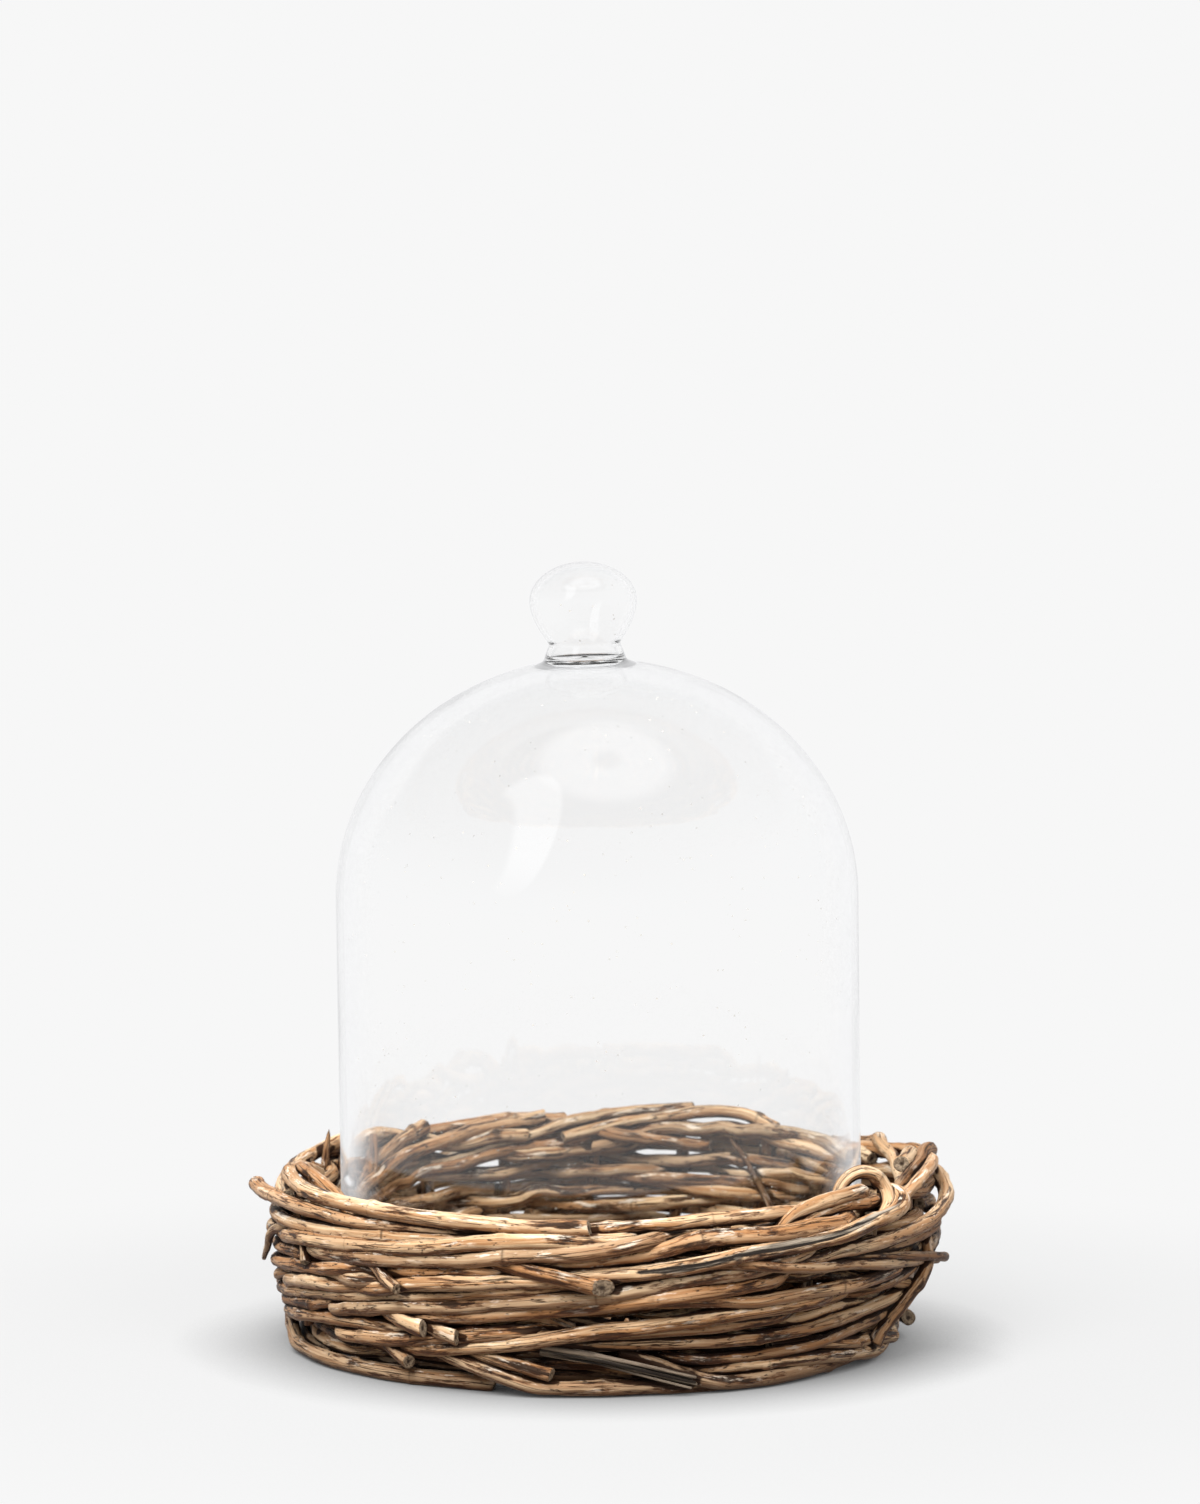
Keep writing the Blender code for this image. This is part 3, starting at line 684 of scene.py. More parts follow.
def woven_sticks(taken):
    """One stick for each CAD rod that no laid rod stands for, its butt at the end further out."""
    sticks = []
    for number, node in enumerate(sorted(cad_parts)):
        for prefix, slot, tip, butt, wander in GROUPS:
            if not node.startswith(prefix) or node in taken:
                continue
            line = fine_line(centreline(node), LAY_STEP)
            if np.hypot(*line[0, :2]) > np.hypot(*line[-1, :2]):
                line = line[::-1]
            if prefix == "side_weaver":
                line = rewoven(line, number, wander * MM)
            elif wander:
                line[:, 2] += slow_wander(len(line), number, wander * MM)
            sticks.append(Stick(f"{node}_willow", line, tip * MM, butt * MM, slot, node=node))
    return sticks


# ---- settling


SNUG = 0.86
NEAR = 8.5 * MM
SETTLE_ROUNDS = 48
LOOK_EVERY = 8
RISE_SHARE = 0.45
HOME_PULL = 0.03
SMOOTH_OVER = 28 * MM
GLASS_CLEAR = 1.6 * MM
TABLE_SNUG = 0.97


def near_pairs(points, owner):
    """Pairs of points on different sticks that are near each other."""
    tree = point_tree(points)
    pairs = [(i, j) for i, point in enumerate(points) for _, j, _ in tree.find_range(point, NEAR) if j > i]
    first, second = np.array(pairs).T
    apart = owner[first] != owner[second]
    return first[apart], second[apart]


def smoothed(shove, sizes):
    """Each stick's shove averaged along it, so that it bends as a whole."""
    width = int(SMOOTH_OVER / LAY_STEP)
    start = 0
    for size in sizes:
        part = shove[start : start + size]
        padded = np.pad(part, ((width // 2, width - 1 - width // 2), (0, 0)), mode="edge")
        shove[start : start + size] = averaged(padded, width)
        start += size
    return shove


def settle(sticks):
    """Lets the sticks push one another aside, mostly outwards, until they only press in a little."""
    points = np.vstack([stick.line for stick in sticks])
    home = points.copy()
    sizes = [len(stick.line) for stick in sticks]
    owner = np.repeat(np.arange(len(sticks)), sizes)
    ease = np.repeat([stick.ease for stick in sticks], sizes)
    radius = np.concatenate([np.linspace(s.tip, s.butt, len(s.line)) for s in sticks])
    for turn in range(SETTLE_ROUNDS):
        if turn % LOOK_EVERY == 0:
            first, second = near_pairs(points, owner)
            share = ease[first] / (ease[first] + ease[second])
        apart = points[second] - points[first]
        distance = np.linalg.norm(apart, axis=1) + 1e-6
        deep = SNUG * (radius[first] + radius[second]) - distance
        hit = deep > 0.0
        push = (deep / distance)[hit, None] * apart[hit] * (1.0, 1.0, RISE_SHARE)
        shove = np.zeros_like(points)
        count = np.ones(len(points))
        for ends, weight in ((first[hit], -share[hit]), (second[hit], 1.0 - share[hit])):
            np.add.at(shove, ends, push * weight[:, None])
            np.add.at(count, ends, 1.0)
        points += smoothed(shove / np.sqrt(count)[:, None], sizes)
        points += HOME_PULL * (home - points)
        keep_clear(points, radius)
    for stick, line in zip(sticks, np.split(points, np.cumsum(sizes)[:-1])):
        stick.line = line


def keep_clear(points, radius):
    """Keeps the sticks of the wall off the glass and above the table."""
    flat = points[:, :2] - (AXIS_X, AXIS_Y)
    distance = np.maximum(np.hypot(*flat.T), MM)
    need = DOME_RADIUS + radius + GLASS_CLEAR
    short = (distance < need) & (points[:, 2] + radius > DOME_LOW.z)
    points[short, :2] += flat[short] * (need / distance - 1.0)[short, None]
    points[:, 2] = np.maximum(points[:, 2], radius * TABLE_SNUG)


GAPS = (
    # angle and height in millimetres of a gap's middle, its half-width in degrees, how far it opens
    (-138, 44, 7, 3.8),
    (-132, 50, 3, 3.0),
    (-156, 50, 8, 3.0),
    (-166, 36, 4, 2.4),
    (-172, 49, 4, 2.6),
    (-175, 43, 5, 2.6),
    (177, 36, 11, 1.8),
    (173, 51.5, 3.5, 2.0),
    (161, 64.7, 4, 2.0),
    (151, 65.6, 4, 2.0),
    (136, 46, 4, 2.4),
)


def open_gaps(sticks):
    """Spreads the rods above and below each gap in the weave, so that light shows through it."""
    for stick in sticks:
        angles, heights, offsets = from_wall(stick.line)
        for angle, height, width, opening in GAPS:
            off = np.abs((angles - angle + 180.0) % 360.0 - 180.0)
            if off.min() > width:
                continue
            rise = heights - height * MM
            reach = opening * MM * np.exp(-((off / width) ** 2))
            side = 1.0 if rise[off.argmin()] > 0.0 else -1.0
            heights = heights + side * (np.hypot(rise, reach) - np.abs(rise))
        stick.line = on_wall(angles, np.maximum(heights, 3.0 * MM), offsets)


# Sticks that cross the weave or stand off it, by the start of their names: no gap moves them
CROSSING = (
    "side_stake", "blade", "stake_tip", "back_stray", "stub", "right_thin", "hanging", "foot", "frayed",
    "right_brace",
)


def all_sticks():
    """Every stick of the tray, settled: the laid ones and those that follow a CAD rod."""
    laid = front_rods() + rim_rods() + back_rods() + loose_ends() + frayed_rod() + foot_lays()
    sticks = laid + woven_sticks({stick.node for stick in laid})
    wall = [stick for stick in sticks if not stick.name.startswith("base")]
    settle(wall)
    open_gaps([stick for stick in wall if not stick.name.startswith(CROSSING)])
    return sticks


# ---- a stick's surface


SIDES = 16
AROUND = TAU * np.arange(SIDES) / SIDES

# Shares of the radius, and the lengths over which they come and go
SWELLING, SWELLING_WAVE = 0.045, 38 * MM
OVAL, OVAL_TWIST = 0.08, 120 * MM
DENT = 0.028
DENT_WAVES = ((3, 23 * MM), (4, 15 * MM), (5, 9 * MM))
KNOT_RISE, BUD_RISE = 0.09, 0.30
KNOT_LENGTH = 1.6 * MM
KNOTS_APART = (22 * MM, 70 * MM)
SPLIT_DEPTH = 0.22
# Half the width of a split, in radians round the stick
SPLIT_WIDTH = 0.46
# A stick with a tip below this radius is pointed: it thickens fast
POINTED = 1.0 * MM
# Cut ends: how steep in degrees, how rough and how far the pith sinks in millimetres
SLANT = (4, 24)
CUT_ROUGHNESS = 0.12
PITH_SINK = 0.35


def frames_along(line):
    """Unit tangent and two side vectors at each point, turning as little as they can."""
    ahead = np.gradient(line, axis=0)
    ahead /= np.linalg.norm(ahead, axis=1)[:, None]
    side = np.cross(ahead[0], (0.0, 0.0, 1.0))
    if np.linalg.norm(side) < 0.3:
        side = np.array((line[0, 0] - AXIS_X, line[0, 1] - AXIS_Y, 0.0))
    sides = []
    for tangent in ahead:
        side = side - tangent * (side @ tangent)
        side = side / np.linalg.norm(side)
        sides.append(side)
    sides = np.array(sides)
    return ahead, sides, np.cross(ahead, sides)


def section_shape(stick, u, rng):
    """The plain radius along the stick, and the radius at each point with swelling and dents."""
    base = np.interp(u, [0, u[-1]], [stick.tip, stick.butt])
    if stick.tip < POINTED < stick.butt:
        base = stick.tip + (stick.butt - stick.tip) * np.sqrt(np.clip(u / (0.55 * u[-1]), 0.0, 1.0))
    swell = SWELLING * np.sin(TAU * u / SWELLING_WAVE + rng.uniform(0, TAU))
    oval = OVAL * rng.uniform(0.3, 1.0)
    turn = rng.uniform(0, TAU) + u / OVAL_TWIST
    shape = 1.0 + swell[:, None] + oval * np.cos(2 * (AROUND + turn[:, None]))
    for lobes, wave in DENT_WAVES:
        phase = rng.uniform(0, TAU, 2)
        rise = np.sin(TAU * u[:, None] / wave + phase[0])
        shape += DENT * rise * np.cos(lobes * AROUND + phase[1])
    if stick.flat < 1.0:
        shape *= stick.flat / np.sqrt((stick.flat * np.sin(AROUND)) ** 2 + np.cos(AROUND) ** 2)
    return base, base[:, None] * shape


def add_knots(u, base, radius, rng):
    """Swollen nodes with a bud scar here and there. Returns how much of a knot each point is."""
    knot = np.zeros_like(radius)
    place = rng.uniform(8 * MM, 40 * MM)
    while place < u[-1] - 4 * MM:
        near = (u - place)[:, None] / KNOT_LENGTH
        bud_side = np.cos(AROUND - rng.uniform(0, TAU))
        bud = np.exp(-((near / 1.4) ** 2)) * np.clip(bud_side, 0, 1) ** 3
        size = rng.uniform(0.4, 1.0)
        radius += size * (KNOT_RISE * np.exp(-(near**2)) + BUD_RISE * bud) * base[:, None]
        knot = np.maximum(knot, size * np.maximum(0.75 * np.exp(-((near * 2.6) ** 2)), bud))
        place += rng.uniform(*KNOTS_APART)
    return knot


def add_split(stick, u, base, radius):
    """A long split on the outer side, where dark bark shows. One that runs past the butt goes all
    round and isn't sunk in. Returns how split each point is."""
    split = np.zeros_like(radius)
    if stick.split is None:
        return split
    start, stop = stick.split
    all_round = stop > 1.0
    share = (u / u[-1] - start) / (stop - start)
    reach = np.clip(np.sin(math.pi * np.clip(share, 0.0, 1.0)), 0.0, 1.0) ** 0.5
    centre = -0.35 + 0.45 * np.sin(u / (31 * MM)) + 0.2 * np.sin(u / (9 * MM))
    off = np.abs((AROUND - centre[:, None] + math.pi) % TAU - math.pi)
    width = (SPLIT_WIDTH + 3.0 * all_round) * reach * (1.0 + 0.3 * np.sin(u / (7 * MM)))
    split = np.clip(1.5 - off / np.maximum(width[:, None], 1e-3), 0.0, 1.0) * (reach[:, None] > 0.05)
    radius -= SPLIT_DEPTH * base[:, None] * split * (not all_round)
    return split


def slant_ends(stick, verts, ahead, radius, rng):
    """Cuts both ends at a slant, taking up the shift over the last few rings. A stick with a cut
    angle has its butt cut that steeply, its face turned to the front."""
    for end, inward in ((0, 1), (-1, -1)):
        angle, high_side = rng.uniform(*SLANT), rng.uniform(0, TAU)
        if stick.cut and end == -1:
            angle, high_side = stick.cut, math.pi
        slant = math.tan(math.radians(angle))
        shift = slant * radius[end] * (np.cos(AROUND - high_side) - 1.0) * -inward
        rings = min(len(verts) // 2, max(4, int(2.0 * slant * radius[end].max() / LINE_STEP) + 3))
        for back in range(rings):
            index = end + back * inward
            verts[index] += (shift * (1.0 - back / rings))[:, None] * ahead[index]


class Skin:
    """A stick's mesh as it is built up: points, faces, the end faces' flags and per-point values."""

    def __init__(self):
        self.verts = []
        self.faces = []
        self.flags = []
        self.values = {"grain": [], "knot": [], "split": []}
        self.total = 0

    def add_points(self, verts, grain, knot, split):
        first = self.total
        self.verts.append(verts)
        for name, part in (("grain", grain), ("knot", knot), ("split", split)):
            self.values[name].append(part)
        self.total += len(verts)
        return np.arange(first, self.total)

    def add_faces(self, corners, flag):
        self.faces += [tuple(int(i) for i in face) for face in corners]
        self.flags += [flag] * len(corners)

    def bridge(self, low, high, flag):
        corners = np.stack([low, np.roll(low, -1), np.roll(high, -1), high], axis=-1)
        self.add_faces(corners, flag)


CUT_LOOPS = (
    # share of the end's radius, how far it sinks in millimetres, depth from rim to pith, is it cut
    (0.93, -0.25, 0.06, 0),
    (0.6, -0.15, 0.3, 1),
    (0.22, 0.15, 0.8, 1),
)


def cap_end(skin, rim, rim_verts, rim_grain, outward, sense, rng):
    """Closes an end with a cut face: a slightly sunken disc with rough rings."""
    middle = rim_verts.mean(axis=0)
    previous = rim
    for share, sink, depth, flag in CUT_LOOPS:
        rough = rng.uniform(-CUT_ROUGHNESS, CUT_ROUGHNESS, (SIDES, 1)) * MM
        loop = middle + (rim_verts - middle) * share - outward * (sink * MM + rough)
        grain = rim_grain * (1.0, share, share)
        fresh = skin.add_points(loop, grain, np.full(SIDES, depth), np.zeros(SIDES))
        skin.bridge(*((previous, fresh) if sense > 0 else (fresh, previous)), flag)
        previous = fresh
    centre_grain = np.array([[rim_grain[0, 0], 0.0, 0.0]])
    pith = middle[None, :] - outward * PITH_SINK * MM
    centre = skin.add_points(pith, centre_grain, np.ones(1), np.zeros(1))[0]
    ring = previous if sense > 0 else previous[::-1]
    skin.add_faces([(ring[k], ring[(k + 1) % SIDES], centre) for k in range(SIDES)], 1)


def stick_skin(stick):
    """The skin of a stick: rings of points along its line, closed by two cut ends."""
    rng = np.random.default_rng(stick.seed)
    line = fine_line(stick.line)
    u = steps_along(line)
    ahead, side, up = frames_along(line)
    base, radius = section_shape(stick, u, rng)
    knot = add_knots(u, base, radius, rng)
    split = add_split(stick, u, base, radius)
    across, over = radius * np.cos(AROUND), radius * np.sin(AROUND)
    verts = line[:, None, :] + across[:, :, None] * side[:, None, :] + over[:, :, None] * up[:, None, :]
    slant_ends(stick, verts, ahead, radius, rng)
    verts[:, :, 2] = np.maximum(verts[:, :, 2], 0.0)
    # Each stick starts at a place of its own in the grain pattern
    along = np.repeat(u + 3.1 * (stick.seed % 977), SIDES)
    grain = np.stack([along, across.ravel(), over.ravel()], axis=1)
    skin = Skin()
    index = skin.add_points(verts.reshape(-1, 3), grain, knot.ravel(), split.ravel()).reshape(-1, SIDES)
    for low, high in zip(index[:-1], index[1:]):
        skin.bridge(low, high, 0)
    for end, sense in ((0, -1), (-1, 1)):
        cap_end(skin, index[end], verts[end], grain[index[end]], ahead[end] * sense, sense, rng)
    return skin


CELL = 1.0 * MM
MARGIN = 12 * MM


class Crowding:
    """A grid of how full of willow each spot is, for the dirt and the painted shade that gather between
    rods.
    """

    def __init__(self, sticks):
        lines = [fine_line(stick.line) for stick in sticks]
        points = np.vstack(lines)
        self.low = points.min(axis=0) - MARGIN
        self.grid = np.zeros(self.cell_of(points.max(axis=0) + MARGIN) + 1, np.float32)
        steps = range(-3, 4)
        ball = [(x, y, z) for x in steps for y in steps for z in steps if x * x + y * y + z * z <= 9]
        for line in lines:
            spots = (self.cell_of(line)[:, None, :] + np.array(ball)).reshape(-1, 3)
            self.grid[tuple(spots.T)] = 1.0
        for axis in range(3):
            self.grid = sum(np.roll(self.grid, shift, axis=axis) for shift in (-1, 0, 1)) / 3

    def cell_of(self, points):
        return ((points - self.low) / CELL).astype(int)

    def at(self, points):
        cells = np.clip(self.cell_of(points), 0, np.array(self.grid.shape) - 1)
        return self.grid[tuple(cells.T)]


# How far off a point's surface the crowding is read for dirt and painted crevice shade, in millimetres, and
# how much each reading counts
DIRT_AND_SHADE_REACH = ((1.6, 0.36), (2.8, 0.36), (4.8, 0.28))


def fill_attribute(mesh, name, values):
    is_vector = np.ndim(values) == 2
    attribute = mesh.attributes.new(name, "FLOAT_VECTOR" if is_vector else "FLOAT", "POINT")
    attribute.data.foreach_set("vector" if is_vector else "value", np.asarray(values, np.float32).ravel())


def draw_stick(stick, crowding, materials):
    """Makes a stick's object, with the values its material reads, and lets it ride on the tray."""
    skin = stick_skin(stick)
    verts = np.vstack(skin.verts)
    piece = new_piece(stick.name, verts.tolist(), skin.faces, materials[stick.slot], materials["end"])
    mesh = piece.data
    mesh.polygons.foreach_set("material_index", skin.flags)
    normals = np.zeros(len(verts) * 3, np.float32)
    mesh.vertex_normals.foreach_get("vector", normals)
    out = normals.reshape(-1, 3)
    rng = np.random.default_rng(stick.seed + 5)
    values = {name: np.concatenate(parts) for name, parts in skin.values.items()}
    # Dirt and painted shade: crevices between crowded rods are darkened.
    values["dirt"] = sum(share * crowding.at(verts + out * reach * MM) for reach, share in DIRT_AND_SHADE_REACH)
    values["tint"] = np.full(len(verts), rng.uniform(0, 1))
    values["tone"] = np.full(len(verts), rng.uniform(0, 1) if stick.tone is None else stick.tone)
    for name, part in values.items():
        fill_attribute(mesh, name, part)
    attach(piece, "basket")
    if stick.node:
        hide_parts(stick.node)


def build_tray():
    materials = {
        WALL: willow_material(WALL, srgb(218, 186, 148), srgb(166, 122, 82), 0.53),
        RIM: willow_material(RIM, srgb(224, 192, 154), srgb(172, 128, 88), 0.54),
        # The rods inside the wall and under the tray get a darker copy of the willow: painted shade.
        INNER: willow_material(INNER, srgb(172, 134, 98), srgb(118, 86, 60), 0.52),
        "end": cut_end_material(),
    }
    sticks = all_sticks()
    crowding = Crowding(sticks)
    for stick in sticks:
        draw_stick(stick, crowding, materials)


# ---- glass


GLASS_STEPS = 160
GLASS_WALL = 2.7 * MM
KNOB_SKIN = 1.6 * MM
LEAN = 1.1 * MM
UNEVEN = 0.35 * MM
# The crown follows the knob out to this radius, fading over this width
CROWN_REACH = 44 * MM
CROWN_FADE = 28 * MM

KNOB_LOW, KNOB_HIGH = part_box("glass_knob")
COLLAR_LOW, COLLAR_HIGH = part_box("knob_collar")
KNOB_RADIUS = (KNOB_HIGH.x - KNOB_LOW.x) / 2.0
FOOT_Z, CROWN_Z = DOME_LOW.z, DOME_HIGH.z
SHOULDER_Z = CROWN_Z - 0.906 * DOME_RADIUS
BEAD = GLASS_WALL / 2.0 + 0.35 * MM
NECK_Z = CROWN_Z + 5.9 * MM
BELLY_Z = CROWN_Z + 0.60 * (KNOB_HIGH.z - CROWN_Z)

# Degrees up the dome's arc where the collar starts
COLLAR_TURN = 79.5
# Radius and height above the crown, in millimetres
COLLAR = (
    (15.7, -0.7), (15.2, -0.1), (14.9, 0.6), (14.6, 1.4), (14.0, 3.0), (13.4, 4.5), (13.1, 5.2), (13.1, 5.7),
)
BUBBLE_FLOOR = (
    (0.0, 0.6), (0.9, 0.5), (1.6, -0.3), (2.6, -0.9), (11.0, -0.9), (12.6, -0.5), (13.1, 0.3), (12.9, 1.5),
    (12.3, 3.0), (11.8, 4.5), (11.5, 5.2),
)


def glass_material():
    """Clear blown glass with dust specks, faint smears, a weak ripple and a painted pale sheen, a glow where
    it is seen at a low angle. It casts hardly any shadow."""
    material, nodes, shader, output = new_material("clear_blown_glass")
    ramp = nodes.ramp
    place = nodes.add("TexCoord").outputs["Object"]
    nodes.connect((1.0, 1.0, 1.0), shader.inputs["Base Color"])
    shader.inputs["Transmission Weight"].default_value = 1.0
    shader.inputs["IOR"].default_value = 1.47
    smear = nodes.noise(place, (18, 18, 9), 4, 0.7)
    nodes.connect(ramp(smear, 0.55, 0.8, 0.0, 0.035), shader.inputs["Roughness"])
    nodes.bump(shader, nodes.noise(place, (26, 26, 14), 1), 0.25, 0.5 * MM)
    speck = nodes.add("TexVoronoi", in_Vector=place, in_Scale=190.0).outputs["Distance"]
    sparse = nodes.noise(place, (60, 60, 60), 2)
    dust = nodes.times(ramp(speck, 0.085, 0.045, 0.0, 0.65), ramp(sparse, 0.50, 0.56))
    dust_shader = nodes.add("BsdfDiffuse", srgb(205, 200, 190), 0.9)
    front = nodes.maths("SUBTRACT", 1.0, nodes.add("NewGeometry").outputs["Backfacing"])
    grazing = nodes.add("LayerWeight").outputs["Facing"]
    # Painted reflection: a pale glow on the front faces seen at a low angle.
    painted_sheen = nodes.times(front, ramp(grazing, 0.48, 0.88, 0.0, 0.5))
    painted_sheen_shader = nodes.add("Emission", (0.98, 0.985, 1.0), 0.93)
    clear = nodes.add("BsdfTransparent", (0.96, 0.97, 0.97))
    for share, other in ((dust, dust_shader), (painted_sheen, painted_sheen_shader), (nodes.is_ray("Shadow"), clear)):
        shader = nodes.add("MixShader", share, shader.outputs[0], other.outputs[0])
    nodes.connect(shader.outputs[0], output.inputs[0])
    return material


def arc(centre_z, size_r, size_z, start, stop, count, centre_r=0.0):
    """Profile points on an ellipse's arc, angles in degrees from the outward direction."""
    turns = [math.radians(start + (stop - start) * k / count) for k in range(count + 1)]
    return [(centre_r + size_r * math.cos(t), centre_z + size_z * math.sin(t)) for t in turns]


def upright(radius, start, stop):
    """Profile points straight up or down between two heights, without the two ends."""
    return [(radius, start + (stop - start) * k / 24) for k in range(1, 24)]


def swell(neck, belly):
    """Profile points that swell from the knob's neck out to its belly, given their radii."""
    shares = [(math.sin(math.pi / 2 * k / 16) ** 0.95, k / 16) for k in range(16)]
    return [(neck + (belly - neck) * out, NECK_Z + (BELLY_Z - NECK_Z) * up) for out, up in shares]


def bell_profile():
    """The outside from the rounded foot to the knob's top, then the inside down to the foot."""
    outside = arc(FOOT_Z + BEAD, BEAD, BEAD, -180, 0, 10, DOME_RADIUS - BEAD)
    outside += upright(DOME_RADIUS, FOOT_Z + BEAD, SHOULDER_Z)
    outside += arc(SHOULDER_Z, DOME_RADIUS, CROWN_Z - SHOULDER_Z, 0, COLLAR_TURN, 59)
    outside += [(r * MM, CROWN_Z + z * MM) for r, z in COLLAR]
    outside += swell(outside[-1][0], KNOB_RADIUS)
    outside += arc(BELLY_Z, KNOB_RADIUS, KNOB_HIGH.z - BELLY_Z, 0, 90, 26)
    radius = DOME_RADIUS - GLASS_WALL
    inside = arc(SHOULDER_Z, radius, CROWN_Z - GLASS_WALL - SHOULDER_Z, 90, 0, 60)
    return outside + inside + upright(radius, SHOULDER_Z, FOOT_Z + BEAD)


def bubble_profile():
    """The sealed air space in the knob, from the middle of its floor to its top."""
    radius = KNOB_RADIUS - KNOB_SKIN
    points = [(r * MM, CROWN_Z + z * MM) for r, z in BUBBLE_FLOOR]
    points += swell(points[-1][0], radius)
    return points + arc(BELLY_Z, radius, KNOB_HIGH.z - KNOB_SKIN - BELLY_Z, 0, 90, 26)


def knob_place():
    """Where the knob stands: off the dome's axis, leaning the way the CAD knob leans on its collar."""
    seat = Vector(((COLLAR_LOW.x + COLLAR_HIGH.x) / 2.0, AXIS_Y, CROWN_Z))
    top_x = (KNOB_LOW.x + KNOB_HIGH.x) / 2.0
    lean = math.atan2(top_x - seat.x, KNOB_HIGH.z - seat.z)
    return Matrix.Translation(seat) @ Matrix.Rotation(lean, 4, "Y")


def knob_share(r, z):
    """How far a point goes with the knob: fully on the knob, less and less across the crown."""
    if z > CROWN_Z - 0.5 * MM:
        return 1.0
    if z < SHOULDER_Z:
        return 0.0
    return eased(min(1.0, max(0.0, (CROWN_REACH - r) / CROWN_FADE)))


def on_bell(r, turn, z, knob):
    """A point of the bell. The dome isn't quite round and leans a little."""
    x, y = r * math.cos(turn), r * math.sin(turn)
    point = Vector((AXIS_X + x, AXIS_Y + y, z))
    if z < CROWN_Z + 1 * MM and r > 1 * MM:
        pull = noise.noise(Vector((x * 14, y * 14, z * 9))) * UNEVEN
        point += Vector((x, y, 0)).normalized() * pull
    point.x += LEAN * (1.0 - 2.0 * min(1.0, (z - FOOT_Z) / (SHOULDER_Z - FOOT_Z)))
    return point.lerp(knob @ Vector((x, y, z - CROWN_Z)), knob_share(r, z))


def lathe(profile, verts, faces, knob, sense):
    """Turns a profile round the bell's axis. A point on the axis is shared by its whole ring, and a
    sense of -1 turns the faces to look into a hollow."""
    rings = []
    for r, z in profile:
        first, count = len(verts), 1 if r < 1e-6 else GLASS_STEPS
        verts += [on_bell(r, TAU * k / GLASS_STEPS, z, knob) for k in range(count)]
        rings.append([first + k % count for k in range(GLASS_STEPS)])
    for a, b in zip(rings, rings[1:] + rings[:1]):
        for k in range(GLASS_STEPS):
            n = (k + 1) % GLASS_STEPS
            face = list(dict.fromkeys((a[k], a[n], b[n], b[k])))
            if len(face) > 2:
                faces.append(face[::sense])


def build_bell():
    """The bell: dome, collar and knob blown as one, with a sealed bubble inside the knob."""
    verts, faces = [], []
    knob = knob_place()
    lathe(bell_profile(), verts, faces, knob, 1)
    lathe(bubble_profile(), verts, faces, knob, -1)
    bell = new_piece("glass_bell", verts, faces, glass_material())
    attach(bell, "cloche")
    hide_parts("glass_dome", "knob_collar", "glass_knob")


# ---- studio


PAPER_LEVEL = 0.93
PAPER_WHITE = 0.10
PAPER_GLOW = 0.665
WORLD_FILL = 0.38
PAPER_HALF_WIDTH = 3.5
PAPER_FRONT, PAPER_CURVE, PAPER_TOP = -3.2, 1.4, 2.2
CURVE_RADIUS = 1.2


def paper_material():
    """White paper that mostly glows, so that the shadow cast on it stays light; close to the tray the glow
    is dimmed by occlusion, a painted shadow. Further off it only glows. The willow receives less from it
    than the camera and the glass see."""
    material, nodes, _, output = new_material("paper_sweep")
    place = nodes.add("TexCoord").outputs["Object"]
    tooth = nodes.noise(place, (900, 900, 900), 2)
    low, high = [PAPER_WHITE - 0.006] * 3, [PAPER_WHITE + 0.006] * 3
    diffuse = nodes.add("BsdfDiffuse", nodes.blend(nodes.ramp(tooth, 0.3, 0.7), low, high), 1.0)
    # Painted shadow: the paper's glow is dimmed by ambient occlusion close to the tray.
    painted_shadow_ao = nodes.add("AmbientOcclusion", samples=8, in_Distance=44 * MM).outputs["AO"]
    white = (1.0, 1.0, 1.0)
    glow = nodes.add("Emission", white, nodes.times(painted_shadow_ao, PAPER_GLOW))
    near = nodes.add("AddShader", diffuse.outputs[0], glow.outputs[0])
    far = nodes.add("Emission", white, PAPER_LEVEL)
    from_tray = nodes.add("VectorMath", place, operation="LENGTH").outputs["Value"]
    seen = nodes.add("MixShader", nodes.ramp(from_tray, 0.19, 0.38), near.outputs[0], far.outputs[0])
    dim = nodes.add("BsdfDiffuse", (0.32, 0.28, 0.24), 1.0)
    both = nodes.add("MixShader", nodes.is_ray("Diffuse"), seen.outputs[0], dim.outputs[0])
    nodes.connect(both.outputs[0], output.inputs[0])
    return material


def build_stage():
    """A paper sweep: floor, a wide curve behind and a wall."""
    curve = arc(CURVE_RADIUS, CURVE_RADIUS, CURVE_RADIUS, -90, 0, 24, PAPER_CURVE)
    rows = [(PAPER_FRONT, 0.0), *curve, (PAPER_CURVE + CURVE_RADIUS, PAPER_TOP)]
    verts = [(x, y, z) for y, z in rows for x in (-PAPER_HALF_WIDTH, PAPER_HALF_WIDTH)]
    faces = [(2 * i, 2 * i + 1, 2 * i + 3, 2 * i + 2) for i in range(len(rows) - 1)]
    new_piece("paper_sweep", verts, faces, paper_material())


def toward(azimuth, elevation):
    """A direction: azimuth in degrees from the front rising to the right, elevation above the floor."""
    turn, rise = math.radians(azimuth), math.radians(elevation)
    return Vector((math.sin(turn) * math.cos(rise), -math.cos(turn) * math.cos(rise), math.sin(rise)))


def along(nodes, way, direction):
    return nodes.add("VectorMath", way, tuple(direction), operation="DOT_PRODUCT").outputs["Value"]


def round_box(nodes, way, azimuth, elevation, half_angle, soft):
    """1 inside a round softbox seen in that direction, falling to 0 over its soft edge."""
    edges = [math.cos(math.radians(half_angle + side * soft)) for side in (1, -1)]
    return nodes.ramp(along(nodes, way, toward(azimuth, elevation)), *edges)


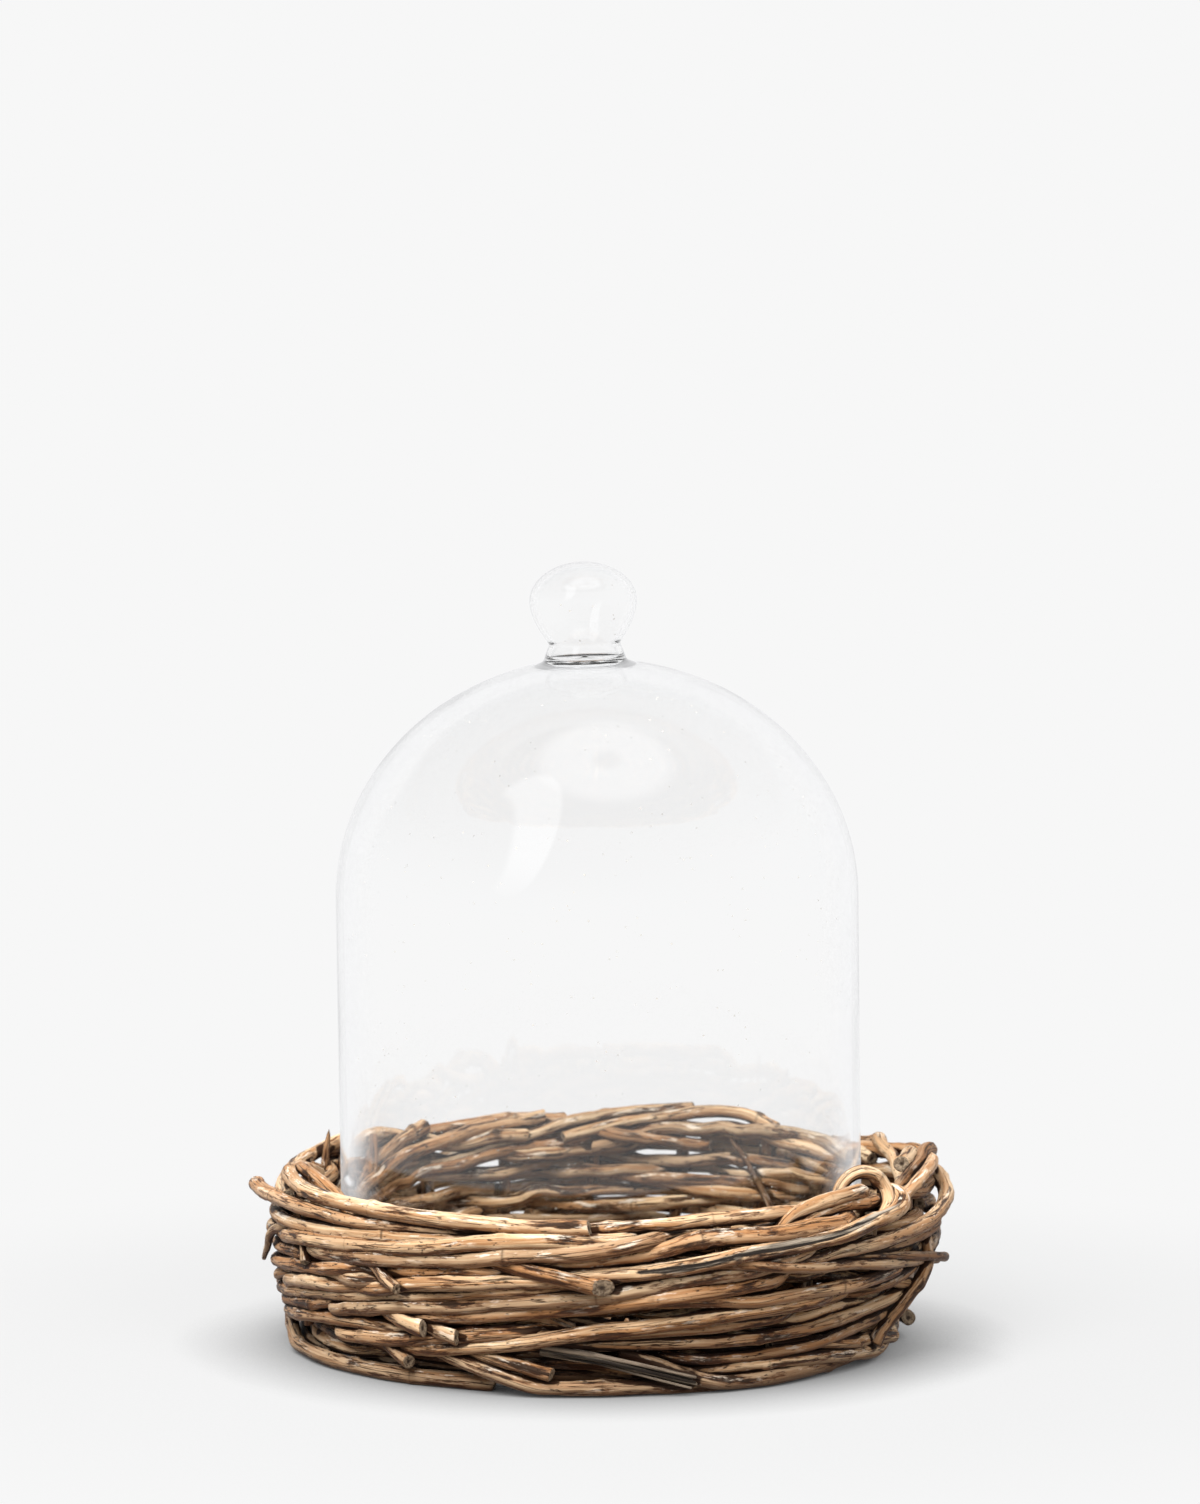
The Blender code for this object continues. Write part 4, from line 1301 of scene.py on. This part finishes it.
def in_ellipse(nodes, offs, centre, size, soft):
    """1 inside an ellipse on a plane and 0 outside. offs are a point's two distances on the plane, the
    ellipse's centre and half-sizes are in degrees."""
    total = 0.0
    for off, middle, radius in zip(offs, centre, size):
        shifted = nodes.maths("SUBTRACT", off, math.tan(math.radians(middle)))
        share = nodes.maths("DIVIDE", shifted, math.tan(math.radians(radius)))
        total = nodes.maths("MULTIPLY_ADD", share, share, total)
    return nodes.ramp(total, 1.0 + soft, 1.0 - soft)


def crescent(nodes, way, azimuth, elevation):
    """A crescent seen in that direction: an upright ellipse with a second one bitten out of its left."""
    ahead = toward(azimuth, elevation)
    right = toward(azimuth + 90.0, 0.0)
    facing = along(nodes, way, ahead)
    offs = [nodes.maths("DIVIDE", along(nodes, way, axis), facing) for axis in (right, right.cross(ahead))]
    whole = in_ellipse(nodes, offs, (-9.0, 2.0), (17.0, 31.0), 0.10)
    bite = in_ellipse(nodes, offs, (-23.0, 8.0), (15.0, 26.0), 0.25)
    share = nodes.times(whole, nodes.maths("SUBTRACT", 1.0, bite))
    return nodes.times(share, nodes.ramp(facing, 0.0, 0.05))


def build_world():
    """The room that the glass mirrors: brighter to the right and the back, with a round softbox with a
    darker middle overhead and a crescent at the left front. At the horizon it meets the paper."""
    world = bpy.data.worlds.new("studio")
    world.use_nodes = True
    nodes = Nodes(world.node_tree)
    way = nodes.add("TexCoord").outputs["Generated"]
    x, y, z = nodes.add("SeparateXYZ", way).outputs
    room = nodes.times(nodes.ramp(x, -1.0, 1.0, 0.70, 0.92), nodes.ramp(y, -1.0, 0.2, 0.85, 1.0))
    level = nodes.total(
        (room, 1.0),
        (round_box(nodes, way, 20.0, 81.0, 22.0, 4.0), 0.85),
        (round_box(nodes, way, 25.0, 81.0, 4.5, 2.0), -0.7),
        (crescent(nodes, way, -33.0, 39.0), 0.95),
    )
    above_paper = nodes.maths("SUBTRACT", level, PAPER_LEVEL)
    level = nodes.maths("MULTIPLY_ADD", above_paper, nodes.ramp(z, 0.0, 0.5), PAPER_LEVEL)
    fill = nodes.ramp(nodes.is_ray("Diffuse"), 0.0, 1.0, 1.0, WORLD_FILL)
    background = nodes.tree.nodes["Background"]
    nodes.connect(nodes.times(level, fill), background.inputs["Strength"])
    nodes.connect((0.97, 0.985, 1.0), background.inputs["Color"])
    bpy.context.scene.world = world


def area_light(name, place, width, power, shape="SQUARE"):
    """A softbox aimed at the tray. The glass doesn't mirror it: it mirrors those drawn on the world."""
    light = bpy.data.lights.new(name, "AREA")
    light.shape = shape
    light.size = width
    light.energy = power
    made = put_in_scene(bpy.data.objects.new(name, light))
    made.location = place
    aim = Vector((AXIS_X, AXIS_Y, 0.05)) - Vector(place)
    made.rotation_euler = aim.to_track_quat("-Z", "Y").to_euler()
    made.visible_glossy = False
    made.visible_transmission = False


def build_light():
    area_light("key_softbox", (-0.65, -1.05, 1.5), 1.2, 52.0)
    area_light("right_softbox", (1.1, -1.4, 1.0), 0.9, 9.0)
    area_light("top_softbox", (0.0, -0.35, 1.6), 1.4, 18.0, "DISK")
    bpy.context.scene.view_settings.view_transform = "Standard"


# Metres in front of the glass's axis and above the table, and degrees down
CAMERA_AHEAD, CAMERA_HEIGHT, CAMERA_DOWN = 2.2, 0.414, 5.1
FOCUS_AHEAD, FOCUS_HEIGHT = 0.08, 0.03


def build_camera():
    """A long lens looking down a little, focused on the front of the tray."""
    focus = put_in_scene(bpy.data.objects.new("focus_point", None))
    focus.location = (AXIS_X, AXIS_Y - FOCUS_AHEAD, FOCUS_HEIGHT)
    data = bpy.data.cameras.new("camera")
    data.lens = 144.1
    data.sensor_width = 36.0
    data.clip_start = 0.05
    data.dof.use_dof = True
    data.dof.focus_object = focus
    data.dof.aperture_fstop = 14.0
    camera = put_in_scene(bpy.data.objects.new("camera", data))
    camera.location = (AXIS_X, AXIS_Y - CAMERA_AHEAD, CAMERA_HEIGHT)
    camera.rotation_euler = (math.radians(90.0 - CAMERA_DOWN), 0.0, 0.0)
    bpy.context.scene.camera = camera


build_tray()
build_bell()
build_stage()
build_world()
build_light()
build_camera()
